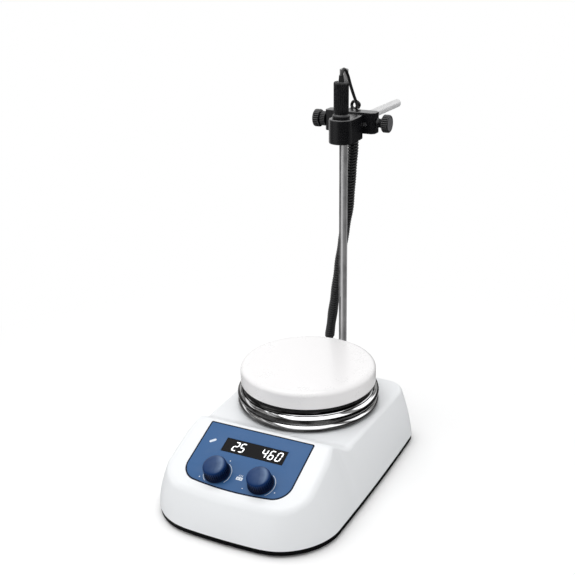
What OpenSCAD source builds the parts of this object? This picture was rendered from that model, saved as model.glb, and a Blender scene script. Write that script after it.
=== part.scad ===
// Digital hotplate magnetic stirrer with support rod and temperature probe.
// The Z axis is the heating plate's axis, Z = 0 is the bench, -Y is the control side.

/* [Housing] */
// Half width of the housing at its foot, beside the plate axis
foot_hw = 87.5; // [86:0.5:90]
// Distance from the plate axis to the front of the foot
foot_front = 170; // [168:1:175]
// Distance from the plate axis to the back of the foot
foot_back = 78.5; // [77.5:0.5:82]
// Height of the flat deck round the heating plate
deck_z = 56.5; // [56:0.25:57]
// Half width of the deck
deck_hw = 72.8; // [72:0.2:74]
// Wall thickness of the housing
wall = 3; // [2.5:0.25:3]
// Top face of the base plate
base_top = 6.5; // [6:0.25:8]

/* [Control panel] */
// Slope of the control panel
panel_tilt = 23; // [22:0.5:24]
// Half width of the printed panel
panel_hw = 51; // [50:0.5:53]
// Length of the printed panel down the slope
panel_len = 64.5; // [64:0.5:66]
// Sideways distance of each knob from the middle of the display
knob_x = 21; // [20:0.1:22]
// Knob diameter over the ribs
knob_d = 23; // [21:0.5:24]
// Knob height above the panel
knob_h = 13.5; // [12.5:0.5:15]
// Sideways offset of the display and knobs on the panel
controls_x = 2; // [0:0.5:2]
// Number of ribs on a knob
knob_ribs = 36; // [24:4:40]

/* [Heating plate] */
// Diameter of the white plate
plate_d = 128.4; // [126:0.2:129]
// Height of the plate's upper face above the bench
plate_top = 96; // [95.5:0.5:98]
// Thickness of the white plate
plate_t = 17.2; // [16.6:0.2:17.6]
// Outside diameter of the polished skirt
skirt_d = 135; // [134:0.5:136]

/* [Support rod] */
// Support rod diameter
rod_d = 8; // [7.5:0.5:8]
// Height of the rod's upper end
rod_top = 354; // [350:0.5:390]
// Height of the boss head's middle
head_z = 308.5; // [300:0.5:320]
// Diameter of the cross rod
arm_d = 8; // [6:0.5:8]
// Length of the cross rod
arm_len = 134; // [110:2:140]

/* [Probe] */
// Diameter of the probe stem
stem_d = 3; // [2.5:0.1:3.2]
// Height of the probe's tip
tip_z = 148; // [146:2:180]
// Diameter of the probe handle
handle_d = 13.5; // [12:0.5:14]
// Outside diameter of the coiled cable
coil_d = 10.4; // [9:0.2:11]

/* [Hidden] */

// ---- Colours ----
WHITE = [0.93, 0.94, 0.95];
PLATE_WHITE = [0.95, 0.945, 0.94];
BLACK = [0.07, 0.07, 0.08];
WINDOW_BLACK = [0.03, 0.03, 0.04];
GASKET_BLACK = [0.05, 0.05, 0.05];
ROCKER_BLACK = [0.14, 0.14, 0.15];
BUSH_BLACK = [0.16, 0.16, 0.17];
DIGIT_GREY = [0.85, 0.86, 0.86];
CORE_GREY = [0.3, 0.3, 0.32];
MAGNET_GREY = [0.6, 0.61, 0.64];
BLUE = [0.23, 0.40, 0.63];
NAVY = [0.10, 0.15, 0.30];
STEEL = [0.72, 0.73, 0.75];
BRIGHT_STEEL = [0.86, 0.87, 0.88];
CHROME = [0.82, 0.83, 0.85];
BRASS = [0.80, 0.66, 0.35];
GREEN = [0.10, 0.40, 0.25];
COPPER = [0.75, 0.42, 0.22];
HEATER_TAN = [0.55, 0.5, 0.42];
INSULATION = [0.86, 0.83, 0.74];

// ---- Shapes and places ----
gap = 0.05; // radial clearance of a fitted part

module box(corner, size) translate(corner) cube(size);
module drum(z, height, radius, sides)
  translate([0, 0, z]) cylinder(h = height, r = radius, $fn = sides);
// Bars standing out from a round grip, size = [radial, tangential, axial]
module ribs(count, inner_r, z, size)
  for (i = [0 : count - 1]) rotate([0, 0, i * 360 / count]) box([inner_r, -size.y / 2, z], size);

// Turn the child's Z axis towards +Y or +X
module facing_back(place = [0, 0, 0]) translate(place) rotate([-90, 0, 0]) children();
module facing_right(place = [0, 0, 0]) translate(place) rotate([0, 90, 0]) children();

function both_sides(places) = [for (p = places, side = [-1, 1]) [side * p.x, p.y]];
function grid(xs, ys) = [for (x = xs, y = ys) [x, y]];
module at(places, z) for (p = places) translate([p.x, p.y, z]) children();
module ring(angles, radius, z)
  for (a = angles) rotate([0, 0, a]) translate([radius, 0, z]) children();

// Panel frame: origin at the middle of the panel's upper edge, Y up the slope, Z outward
panel_y = -92;
panel_z = 67.6;
module on_panel() translate([0, panel_y, panel_z]) rotate([panel_tilt, 0, 0]) children();

// Rear frame: Y points out of the sloping back wall, Z up the wall
rear_y = 75.4;
rear_z = 30;
rear_tilt = 8.3;
module on_rear() translate([0, rear_y, rear_z]) rotate([rear_tilt, 0, 0]) children();

// Connectors on the rear wall
port_z = -9;
inlet_x = 37;
switch_x = -55;
socket_x = -34;
module at_port(x) on_rear() translate([x, 0, port_z]) children();
module at_inlet_screws(y) for (x = [-19.7, 19.7]) facing_back([x, y, 0]) children();
module at_holder_screws(y) for (x = [-16, 16]) facing_back([x, y, 10]) children();

// Display window and knobs on the panel
window_w = 60;
window_h = 14.6;
window_y = -20.5;
knob_y = -50;
encoder_bush_r = 3.55;
knob_shaft_r = 2.5;
module window_block(inset, z, height)
  box([controls_x - window_w / 2 + inset, window_y - window_h / 2 + inset, z],
    [window_w - 2 * inset, window_h - 2 * inset, height]);
// side is -1 for heat, on the left, and 1 for speed
module at_knob(side) on_panel() translate([controls_x + side * knob_x, knob_y, 0]) children();
module at_knobs() for (side = [-1, 1]) at_knob(side) children();

// Circuit boards, each with a hole near every corner
board_hw = 50;
board_t = 1.6;
board_hole_inset = 4;
main_board_y = [-126, -66];
main_board_z = 14;
main_board_top = main_board_z + board_t;
display_board_y = [-62, -5];
display_board_top = -9.8;
function board_holes(ends) = grid([-1, 1] * (board_hw - board_hole_inset),
  [ends[0] + board_hole_inset, ends[1] - board_hole_inset]);
main_holes = board_holes(main_board_y);
display_holes = board_holes(display_board_y);

// Base fixings
base_bottom = 2;
column_places = both_sides([[58, -134], [71, -8], [67, 42]]);
rubber_places = both_sides([[64, -108], [64, 60]]);
bracket_holes = grid([-46.5, 46.5], [-14, 14]);

// Drive and heater heights are for a deck at 59.5 and move with the deck
stack_z = deck_z - 59.5;
module on_stack() translate([0, 0, stack_z]) children();

motor_shaft_r = 2.5;
module at_motor_screws(z) ring([30, 150, 270], 15, z) children();
module at_pillars(z) ring([45, 135, 225, 315], 52, z) children();
module at_studs(z) ring([0, 120, 240], 54.5, z) children();

// ---- Outlines ----
// Half width at y of a side that tapers and bellies
function side_x(y, half_w, taper, belly) = half_w + taper * y / 100 - belly * pow(y / 100, 2);
// Setback at x of an edge that falls back by depth at the half width
function bowed(x, half_w, depth) = depth * pow(x / half_w, 2);
// Right half of a plan outline, front middle to back middle, with rounded corners
function half_plan(half_w, taper, belly, front, front_bow, front_r, back, back_bow, back_r,
    steps) =
  let (side_start = front + front_r + front_bow, side_end = back - back_r)
  concat(
    [for (i = [0 : 3])
      let (x = (half_w - front_r) * i / 4)
      [x, front + bowed(x, half_w, front_bow)]],
    [for (i = [0 : steps])
      let (a = 90 * i / steps,
        x = half_w - front_r + front_r * sin(a),
        y = front + bowed(x, half_w, front_bow) + front_r - front_r * cos(a))
      [side_x(y, half_w, taper, belly) - front_r + front_r * sin(a), y]],
    [for (i = [1 : 3])
      let (y = side_start + (side_end - side_start) * i / 4)
      [side_x(y, half_w, taper, belly), y]],
    [for (i = [0 : steps])
      let (a = 90 - 90 * i / steps,
        x = half_w - back_r + back_r * sin(a),
        y = back - bowed(x, half_w, back_bow) - back_r + back_r * cos(a))
      [side_x(y, half_w, taper, belly) - back_r + back_r * sin(a), y]],
    [for (i = [1 : 2])
      let (x = (half_w - back_r) * (3 - i) / 3)
      [x, back - bowed(x, half_w, back_bow)]]);
// Close a right half with its mirror image, leaving out points on the middle line
function mirrored(half) = concat(half,
  [for (i = [len(half) - 1 : -1 : 0]) if (abs(half[i].x) > 0.01) [-half[i].x, half[i].y]]);

function foot_plan(inset) = mirrored(half_plan(
  half_w = foot_hw - inset, taper = -0.6, belly = 1.8,
  front = -foot_front + inset, front_bow = 7.4, front_r = 45 - inset,
  back = foot_back - inset, back_bow = 4.5, back_r = 20 - inset, steps = 10));
function deck_plan(inset) = mirrored(half_plan(
  half_w = deck_hw - inset, taper = 2.6, belly = 0,
  front = -78, front_bow = 0, front_r = 3,
  back = 71.7 - inset, back_bow = 3, back_r = 15.6 - inset, steps = 6));
// Outline in the panel frame: flat top, bowed lower edge, rounded corners
function shield(half_w, top, bottom, bow, low_r, top_r, steps) = mirrored(concat(
  [for (i = [0 : 3])
    let (x = (half_w - low_r) * i / 4)
    [x, bottom + bowed(x, half_w, bow)]],
  [for (i = [0 : steps])
    let (a = 90 * i / steps, x = half_w - low_r + low_r * sin(a))
    [x, bottom + bowed(x, half_w, bow) + low_r - low_r * cos(a)]],
  [for (i = [0 : 4])
    let (a = 90 * i / 4)
    [half_w - top_r + top_r * cos(a), top - top_r + top_r * sin(a)]]));
function overlay_outline(grow, steps) =
  shield(panel_hw + grow, grow, -panel_len - grow, 4.5, 14, 1.5, steps);

// ---- Housing ----
module foot_slice(inset)
  translate([0, 0, base_top]) linear_extrude(0.5) polygon(foot_plan(inset));
// Part under the heating plate
module deck_block(inset) hull() {
  foot_slice(inset);
  translate([0, 0, deck_z - 3 - inset]) linear_extrude(0.5) polygon(deck_plan(inset - 0.4));
  translate([0, 0, deck_z - 0.5 - inset]) linear_extrude(0.5) polygon(deck_plan(inset + 2));
}
// Sloping front part that carries the panel
module console_block(inset) {
  half_w = deck_hw - 4 - inset;
  hull() {
    intersection() {
      foot_slice(inset);
      box([-120, -200, 0], [240, 138, 60]);
    }
    box([-half_w, -70, deck_z - 4], [2 * half_w, 2, 3.6 - inset]);
    on_panel() translate([0, 0, -inset - 2]) linear_extrude(0.5)
      polygon(shield(69.3 - inset, 3 - inset, -74 + inset, 5, 24 - inset, 6, 8));
    on_panel() translate([0, 0, -inset - 0.5]) linear_extrude(0.5)
      polygon(shield(67.3 - inset, 1.5 - inset, -72 + inset, 5, 22 - inset, 5, 8));
  }
}
module hollow_block() difference() {
  union() {
    deck_block(0);
    console_block(0);
  }
  translate([0, 0, -0.2]) deck_block(wall);
  translate([0, 0, -0.2]) console_block(wall);
  box([-120, -200, 0], [240, 400, base_top]);
}
module screw_columns() at(column_places, base_top) cylinder(h = 46, r = 4.5, $fn = 32);
module panel_cuts() {
  on_panel() {
    // seat of the printed panel
    translate([0, 0, -0.6]) linear_extrude(5) polygon(overlay_outline(0.15, 8));
    window_block(0, -6, 12);
    at(display_holes, -10.5) cylinder(h = 6.5, r = 1.25, $fn = 24);
  }
  at_knobs() drum(-6, 12, encoder_bush_r + gap, 48);
}
module rear_cuts() {
  at_port(inlet_x) {
    box([-13.7, -6, -9.7], [27.4, 12, 19.4]);
    at_inlet_screws(-6) cylinder(h = 12, r = 1.6, $fn = 24);
  }
  at_port(switch_x) box([-6.6, -6, -9.8], [13.2, 12, 19.6]);
  at_port(socket_x) facing_back([0, -6, 0]) cylinder(h = 12, r = 7.2, $fn = 48);
  on_rear() at_holder_screws(-6) cylinder(h = 12, r = 2.05, $fn = 24);
}
module housing_shell() color(WHITE) difference() {
  union() {
    hollow_block();
    intersection() {
      screw_columns();
      deck_block(1.5);
    }
    intersection() {
      screw_columns();
      console_block(1.5);
    }
    // flat pads behind the connectors and the rod holder
    on_rear() box([-66, -4, -22], [128, 4, 26]);
    on_rear() box([-22, -4, 3], [44, 4, 15]);
    // bosses for the display board
    intersection() {
      on_panel() at(display_holes, display_board_top) cylinder(h = 8, r = 3.2, $fn = 32);
      console_block(1);
    }
  }
  // blind holes for the base screws
  at(column_places, base_top - 1) cylinder(h = 13, r = 1.6, $fn = 32);
  // opening under the heating plate and the pillar screw holes
  drum(deck_z - 6, 12, 44, 96);
  at_pillars(deck_z - 6) cylinder(h = 12, r = 1.65, $fn = 32);
  panel_cuts();
  rear_cuts();
}
// Tray with a low rim, posts for the main board and cooling slots
module base_plate() color(BLACK) difference() {
  union() {
    difference() {
      translate([0, 0, base_bottom]) linear_extrude(base_top - base_bottom)
        polygon(foot_plan(0));
      translate([0, 0, 4]) linear_extrude(base_top) polygon(foot_plan(4.5));
    }
    at(column_places, base_bottom) cylinder(h = base_top - base_bottom, r = 6, $fn = 32);
    at(main_holes, 3) cylinder(h = main_board_z - 3, r = 3.2, $fn = 32);
  }
  at(column_places, 1) {
    cylinder(h = 10, r = 1.6, $fn = 32);
    cylinder(h = 3.6, r = 3.6, $fn = 32);
  }
  at(rubber_places, 1) cylinder(h = 5, r = 3, $fn = 32);
  at(main_holes, 7) cylinder(h = 8, r = 1.25, $fn = 24);
  at(bracket_holes, 1) cylinder(h = 5, r = 1.25, $fn = 24);
  for (i = [-3 : 3], y = [-46, 30]) box([i * 9 - 1.5, y, 1], [3, 22, 5]);
}
// Pad, neck through the base plate and retaining button
module rubber_feet() color(BLACK) at(rubber_places, 0) {
  drum(0, base_bottom, 8, 48);
  drum(0, 4, 3, 32);
  drum(4, 1.2, 4, 32);
}
module base_screws() color(STEEL) at(column_places, 2.6) {
  cylinder(h = 2, r = 3.2, $fn = 32);
  cylinder(h = 15, r = 1.6, $fn = 32);
}

// ---- Control panel ----
module panel_overlay() color(BLUE) difference() {
  on_panel() translate([0, 0, -0.6]) linear_extrude(0.6) polygon(overlay_outline(0, 10));
  on_panel() window_block(0, -2, 4);
  at_knobs() drum(-2, 4, encoder_bush_r + gap, 48);
}
module display_window() color(WINDOW_BLACK) on_panel() window_block(0.15, -3, 3);
module display_digits() color(DIGIT_GREY) on_panel() {
  box([controls_x - 24, window_y - 6.5, -9.6], [20, 13, 6.4]);
  box([controls_x - 3, window_y - 6.5, -9.6], [29, 13, 6.4]);
}
module bare_board(ends, z)
  box([-board_hw, ends[0], z], [2 * board_hw, ends[1] - ends[0], board_t]);
module display_board() color(GREEN) on_panel() difference() {
  bare_board(display_board_y, display_board_top - board_t);
  at(display_holes, -12) cylinder(h = 3, r = 1.6, $fn = 24);
}
// Pan-head screw with its head at the origin, pointing up or down
screw_head_h = 1.8;
module screw_up(length) {
  cylinder(h = screw_head_h, r = 2.7, $fn = 24);
  cylinder(h = screw_head_h + length, r = 1.25, $fn = 24);
}
module screw_down(length) mirror([0, 0, 1]) screw_up(length);
module board_screws() color(STEEL) {
  on_panel() at(display_holes, display_board_top - board_t - screw_head_h) screw_up(6);
  at(main_holes, main_board_top + screw_head_h) screw_down(7);
}
// Hollow body with a bush that reaches through the panel
module encoder(side) color(STEEL) at_knob(side) difference() {
  union() {
    box([-6.2, -6.2, -9.8], [12.4, 12.4, 6.2]);
    drum(-3.6, 7, encoder_bush_r, 48);
  }
  drum(-9, 14, knob_shaft_r + gap, 48);
  drum(-9, 4, 3.4, 48);
}
module heat_encoder() encoder(-1);
module speed_encoder() encoder(1);
// Disc under the shaft, inside the encoder
module plunger(side) color(BRASS) at_knob(side) drum(-8.1, 0.9, 3, 32);
module heat_plunger() plunger(-1);
module speed_plunger() plunger(1);
module encoder_shaft(side) color(STEEL) at_knob(side) {
  drum(-7.2, 1.2, 3.2, 48);
  drum(-7.2, 17.2, knob_shaft_r, 48);
}
module heat_shaft() encoder_shaft(-1);
module speed_shaft() encoder_shaft(1);
module encoder_nuts() color(STEEL) at_knobs() difference() {
  drum(0, 2, 5.7, 6);
  drum(-1, 5, encoder_bush_r, 48);
}
// Ribbed knob with a flange at its foot and a domed top
dome_r = 16.2;
dome_h = 3.2;
module knob_dome() rotate_extrude($fn = 64) intersection() {
  translate([0, knob_h - dome_r]) circle(r = dome_r, $fn = 96);
  translate([0, knob_h - dome_h]) square([knob_d / 2 - 1.1, 4]);
}
module knob(side) color(NAVY) at_knob(side) difference() {
  union() {
    drum(1, 1.2, knob_d / 2, 64);
    drum(1, knob_h - dome_h, knob_d / 2 - 0.7, 64);
    ribs(knob_ribs, knob_d / 2 - 1.2, 1, [1.2, 0.9, knob_h - 3.6]);
    knob_dome();
  }
  // recess over the nut, then the shaft hole
  drum(-1, 5.2, 7, 48);
  drum(2, 8, knob_shaft_r, 48);
}
module heat_knob() knob(-1);
module speed_knob() knob(1);

// ---- Electronics ----
module main_board() color(GREEN) {
  difference() {
    bare_board(main_board_y, main_board_z);
    at(main_holes, 13) cylinder(h = 4, r = 1.6, $fn = 24);
  }
  box([-34, -112, main_board_top], [26, 14, 12]);
  at([[0, -110], [19, -110]], main_board_top) cylinder(h = 18, r = 8, $fn = 32);
  // upright plate with fins on its back
  box([-30, -88, main_board_top], [36, 3, 16]);
  for (i = [0 : 5]) box([-30 + i * 7, -85.1, main_board_top], [1.2, 10, 16]);
}
module transformer() color(COPPER) {
  box([-71, -58, 4], [28, 34, 22]);
  box([-68, -63, 8], [22, 44, 14]);
}
// Three blades of the inlet, [x, z] of each middle
pin_places = [[-7.1, 0.2], [0, 3.4], [7.1, 0.2]];
module pin_blades(y, length)
  for (p = pin_places) box([p[0] - 1, y, p[1] - 2], [2, length, 4]);
module power_inlet() color(BLACK) at_port(inlet_x) difference() {
  union() {
    box([-13.5, -24, -9.5], [27, 24, 19]);
    box([-25, 0, -12], [50, 2.2, 24]);
  }
  // plug recess, drawer slot, blade slots and screw holes
  box([-11.5, -15, -5], [23, 18, 13]);
  box([-8, -14, -8.6], [16, 17, 2.4]);
  pin_blades(-26, 12);
  at_inlet_screws(-3) cylinder(h = 12, r = 1.6, $fn = 24);
}
module inlet_pins() color(BRASS) at_port(inlet_x) pin_blades(-28, 24);
module inlet_screws() color(STEEL) at_port(inlet_x) at_inlet_screws(0) {
  drum(2.2, 1.6, 2.8, 32);
  drum(-7, 9.5, 1.6, 24);
}
module fuse_drawer() color(BLACK) at_port(inlet_x) {
  box([-7.8, -13.6, -8.45], [15.6, 16.2, 2.1]);
  box([-7, 2.4, -8.45], [14, 1.4, 2.1]);
}
module switch_body() color(BLACK) at_port(switch_x) difference() {
  union() {
    box([-6.4, -13, -9.6], [12.8, 13, 19.2]);
    box([-8, 0, -11], [16, 2, 22]);
  }
  box([-5, -9, -8.2], [10, 14, 16.4]);
}
// Rounded back, dished face
module power_rocker() color(ROCKER_BLACK) at_port(switch_x) difference() {
  intersection() {
    facing_right([-4.8, 0, 0]) cylinder(h = 9.6, r = 7.4, $fn = 64);
    box([-6, -5, -9], [12, 9.2, 18]);
  }
  facing_right([-7, 13.6, 0]) cylinder(h = 14, r = 11, $fn = 64);
}
// Barrel with a hexagon on each side of the wall
module sensor_socket() color(STEEL) at_port(socket_x) facing_back() difference() {
  union() {
    drum(-14, 17, 7.1, 48);
    drum(0.2, 2.4, 9.2, 6);
    drum(-7, 2.2, 9.2, 6);
  }
  drum(-4, 8, 5.4, 48);
}

// ---- Stirring drive ----
// Bridge over the motor with a leg and an outward foot on each side
module motor_bracket() color(STEEL) difference() {
  union() {
    box([-42, -22, 48 + stack_z], [84, 44, 2]);
    for (side = [-1, 1]) {
      box([side * 41 - 1, -22, 4], [2, 44, 46 + stack_z]);
      box([side > 0 ? 40 : -53, -22, 4], [13, 44, 2]);
    }
  }
  drum(36, 20, 8, 48);
  at_motor_screws(36) cylinder(h = 20, r = 1.6, $fn = 24);
  at(bracket_holes, 3) cylinder(h = 5, r = 1.6, $fn = 24);
}
module bracket_screws() color(STEEL) {
  at(bracket_holes, 7.8) screw_down(3.8);
  on_stack() at_motor_screws(51.8) screw_down(5);
}
module motor_can() color(STEEL) on_stack() difference() {
  drum(14, 34, 21, 64);
  drum(18, 26, 18, 64);
  // bearing seats at both ends and the shaft hole
  drum(14.6, 5, 6.5, 48);
  drum(10, 50, 4, 48);
  drum(43, 4.4, 6.5, 48);
  at_motor_screws(44.5) cylinder(h = 5, r = 1.25, $fn = 24);
}
module motor_stator() color(COPPER) on_stack() difference() {
  drum(19, 24, 18, 64);
  drum(15, 30, 15.6, 64);
}
module motor_bearings() color(CHROME) on_stack() for (z = [14.6, 43.4]) difference() {
  drum(z, 4, 6.5, 48);
  drum(z - 1, 8, motor_shaft_r + gap, 48);
}
module rotor_shaft() color(STEEL) on_stack() drum(13, 47, motor_shaft_r, 48);
module rotor_core() color(CORE_GREY) on_stack() difference() {
  drum(20, 22, 15, 64);
  drum(19, 30, motor_shaft_r, 48);
}
module magnet_carrier() color(STEEL) on_stack() difference() {
  union() {
    drum(54, 7, 6, 48);
    drum(60.5, 4, 38, 64);
  }
  drum(50, 10, motor_shaft_r, 48);
}
module drive_magnets() color(MAGNET_GREY) on_stack()
  at([[-25, 0], [25, 0]], 64.5) cylinder(h = 4.5, r = 11, $fn = 48);

// ---- Heating ----
// The skirt's web rests on the pillars, the reflector pan on the web
plate_bottom = plate_top - plate_t;
plate_edge_r = 3;
gasket_t = 1.6;
heater_t = 5.2;
pillar_h = 10.1;
sheet_t = 1.2; // web and pan floor
web_z = deck_z + pillar_h;
pan_z = web_z + sheet_t;
pan_floor = pan_z + sheet_t;
stud_head_h = 2.4;
stud_z = web_z - stud_head_h;

module heating_plate() color(PLATE_WHITE) difference() {
  rotate_extrude($fn = 128) union() {
    translate([0, plate_bottom]) square([plate_d / 2, plate_t - plate_edge_r]);
    translate([0, plate_bottom]) square([plate_d / 2 - plate_edge_r, plate_t]);
    translate([plate_d / 2 - plate_edge_r, plate_top - plate_edge_r])
      circle(r = plate_edge_r, $fn = 48);
  }
  at_studs(plate_bottom - 5) cylinder(h = 11.4, r = 1.6, $fn = 24);
}
module plate_gasket() color(GASKET_BLACK) difference() {
  drum(plate_bottom - gasket_t, gasket_t, 63, 96);
  drum(plate_bottom - 4, 8, 60.6, 96);
}
module heating_element() color(HEATER_TAN) difference() {
  drum(plate_bottom - heater_t, heater_t, 50, 96);
  drum(plate_bottom - 7, 8, 20, 64);
}
module insulation_disc() color(INSULATION) difference() {
  drum(pan_floor, plate_bottom - heater_t - pan_floor, 57.6, 96);
  drum(60, 30, 12, 48);
  at_studs(60) cylinder(h = 30, r = 1.8, $fn = 24);
  // pockets for the upper pillar screw heads
  at_pillars(pan_floor - 1) cylinder(h = 3.6, r = 3.6, $fn = 24);
}
// Two rolled beads round a thin wall, with a flat web inside
module plate_skirt() color(CHROME) difference() {
  rotate_extrude($fn = 128) union() {
    translate([skirt_d / 2 - 3.8, 63.4 + stack_z]) circle(r = 3.8, $fn = 48);
    translate([skirt_d / 2 - 4.15, 71.7 + stack_z]) circle(r = 4.15, $fn = 48);
    translate([61, 62 + stack_z]) square([1.4, plate_bottom - gasket_t - 62 - stack_z]);
    translate([46, web_z]) square([16, sheet_t]);
  }
  at_studs(56) cylinder(h = 16, r = 1.6, $fn = 24);
  at_pillars(56) cylinder(h = 16, r = 1.65, $fn = 24);
}
module reflector_pan() color(STEEL) difference() {
  drum(pan_z, 9, 58.8, 96);
  drum(pan_floor, 12, 57.8, 96);
  drum(pan_floor - 2, 3, 12, 48);
  at_studs(pan_floor - 12) cylinder(h = 16, r = 1.6, $fn = 24);
  at_pillars(pan_floor - 12) cylinder(h = 16, r = 1.65, $fn = 24);
}
module plate_pillars() color(STEEL) at_pillars(deck_z) difference() {
  drum(0, pillar_h, 4, 32);
  drum(-1, 14, 1.6, 24);
}
// One screw into each end of each pillar
module pillar_screws() color(STEEL) on_stack() at_pillars(0) {
  drum(53.9, 2.4, 3.2, 24);
  drum(53.9, 9.6, 1.6, 24);
  drum(72, 2.4, 3.2, 24);
  drum(65, 8, 1.6, 24);
}
module plate_screws() color(STEEL) at_studs(stud_z) {
  cylinder(h = stud_head_h, r = 3.2, $fn = 24);
  cylinder(h = plate_bottom + 5.8 - stud_z, r = 1.6, $fn = 24);
}
module plate_sensor() color(BRASS) translate([-6, 0, plate_bottom - 10])
  cylinder(h = 10, r = 3, $fn = 32);

// ---- Stand ----
rod_y = 80;
rod_foot = 36;
holder_z = 33;
head_half_h = 9.5;
sleeve_r = rod_d / 2 + 1.2;
thumb_stem_r = 2.45;
arm_x = 12;
arm_front = 53;
module on_rod(z) translate([0, rod_y, z]) children();
// Round bar with a small step at its far end
module stepped_bar(length, radius) {
  drum(0, length - 0.6, radius, 64);
  drum(length - 0.6, 0.6, radius - 0.5, 64);
}

module rod_holder() color(BLACK) difference() {
  union() {
    box([-10, 76.2, holder_z], [20, 13, 24]);
    on_rod(holder_z) cylinder(h = 24, r = 10, $fn = 64);
    on_rear() box([-21, 0.1, 3.5], [42, 3, 13.5]);
  }
  // trim to the sloping wall
  on_rear() box([-40, -20, -40], [80, 20.1, 90]);
  on_rod(rod_foot) cylinder(h = 40, r = rod_d / 2, $fn = 64);
  on_rear() at_holder_screws(-2) cylinder(h = 12, r = 2.05, $fn = 24);
}
module support_rod() color(STEEL) on_rod(rod_foot) stepped_bar(rod_top - rod_foot, rod_d / 2);
// Sleeve between the rod and the boss head
module head_bush() color(BUSH_BLACK) on_rod(head_z - head_half_h) difference() {
  drum(0, 2 * head_half_h, sleeve_r, 64);
  drum(-1, 24, rod_d / 2 + gap, 64);
}
module boss_head() color(BLACK) difference() {
  union() {
    box([-12, 73, head_z - head_half_h], [45, 14, 2 * head_half_h]);
    box([-16, 74, head_z - 8.5], [6, 12, 17]);
    on_rod(head_z - head_half_h) cylinder(h = 2 * head_half_h, r = 7.2, $fn = 64);
  }
  // support rod, cross rod and thumbscrew holes, then a blind hole in the front face
  on_rod(head_z - 12) cylinder(h = 24, r = sleeve_r + gap, $fn = 64);
  facing_back([arm_x, 60, head_z]) cylinder(h = 40, r = arm_d / 2 + gap, $fn = 64);
  facing_right([-20, rod_y, head_z]) cylinder(h = 18, r = thumb_stem_r + gap, $fn = 48);
  facing_right([arm_x, rod_y, head_z]) cylinder(h = 25, r = thumb_stem_r + gap, $fn = 48);
  facing_back([24, 70, head_z - 1]) cylinder(h = 6, r = 1.6, $fn = 32);
}
// Ribbed head in two steps on a round stem, pointing along +X
module thumbscrew(stem_len, neck_r) facing_right() {
  drum(0, stem_len + 6, thumb_stem_r, 48);
  drum(stem_len, 5.6, neck_r, 48);
  drum(stem_len + 5.6, 6.6, 7.6, 64);
  ribs(24, 7.2, stem_len + 6.2, [0.9, 0.9, 5.4]);
}
module rod_thumbscrew() color(BLACK)
  translate([-5.4, rod_y, head_z]) mirror([1, 0, 0]) thumbscrew(11.6, 6.6);
module arm_thumbscrew() color(BLACK)
  translate([arm_x + arm_d / 2 + 0.1, rod_y, head_z]) thumbscrew(21.7 - arm_d / 2, 5.4);
module cross_rod() color(BRIGHT_STEEL)
  facing_back([arm_x, arm_front, head_z]) stepped_bar(arm_len, arm_d / 2);

// ---- Probe ----
probe_y = 47;
clamp_r = 11;
clamp_back = 72.6;
clamp_bottom = head_z - 13.9;
clamp_top = head_z + 7.8;
clamp_h = clamp_top - clamp_bottom;
spigot_r = 5;
collar_h = 3.6;
grip_h = 28.1;
handle_top = clamp_top + collar_h + grip_h;
module at_probe() translate([arm_x, probe_y, 0]) children();

module probe_holder() color(BLACK) at_probe() difference() {
  union() {
    drum(clamp_bottom, clamp_h, clamp_r, 64);
    box([-clamp_r, 0, clamp_bottom], [2 * clamp_r, clamp_back - probe_y, clamp_h]);
  }
  drum(clamp_bottom - 1, 40, spigot_r + gap, 64);
  facing_back([0, 0, head_z]) cylinder(h = 40, r = arm_d / 2 + gap, $fn = 64);
}
module probe_handle() color(BLACK) at_probe() difference() {
  union() {
    drum(clamp_bottom + 2, clamp_h - 2, spigot_r, 64);
    drum(clamp_top, collar_h, handle_d / 2 + 1.2, 64);
    drum(clamp_top + collar_h, grip_h, handle_d / 2 - 0.5, 64);
    ribs(24, handle_d / 2 - 1, clamp_top + collar_h, [1, 1, 27.2]);
  }
  drum(clamp_bottom, 14, stem_d / 2, 48);
}
module probe_stem() color(STEEL) at_probe() {
  tip_middle = tip_z + stem_d / 2;
  drum(tip_middle, clamp_bottom + 14 - tip_middle, stem_d / 2, 48);
  translate([0, 0, tip_middle]) sphere(r = stem_d / 2, $fn = 32);
}

// ---- Cable ----
// Middle line of the lead: [x, y, z] from the middle of the handle's top
lead_from_handle = [
  [0, 0, 0], [0, 0, 4.6], [0.6, 3.4, 8.6], [1.3, 8, 6.4],
  [1.5, 12, 2.2], [0.5, 19, -5.6], [-1.1, 30, -15.9], [-2.7, 41, -25.4]];
lead_end = [5.04, 93.77, head_z + 10.05];
// Middle line of the coiled cord, top to bottom: [x, y, z above the boss head's middle]
coil_upper = [
  [4.5, 94, 9], [2.2, 95, 4.5], [1.8, 95.4, -2], [2, 95.4, -8],
  [3.6, 95.2, -15], [3.9, 95, -22.5], [3.1, 95, -40]];
// and then [x, y, z above the bench]
coil_lower = [
  [2, 95, 249], [1.3, 95.5, 229.5], [-0.6, 96.5, 214], [-4.5, 98, 198],
  [-7.5, 99.5, 182], [-10.6, 101.5, 163], [-16, 104, 130], [-24, 108, 95],
  [-30, 112, 64], [-33, 114.5, 40], [-34, 114.5, 30.4]];
function shifted(points, offset) = [for (p = points) p + offset];

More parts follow.
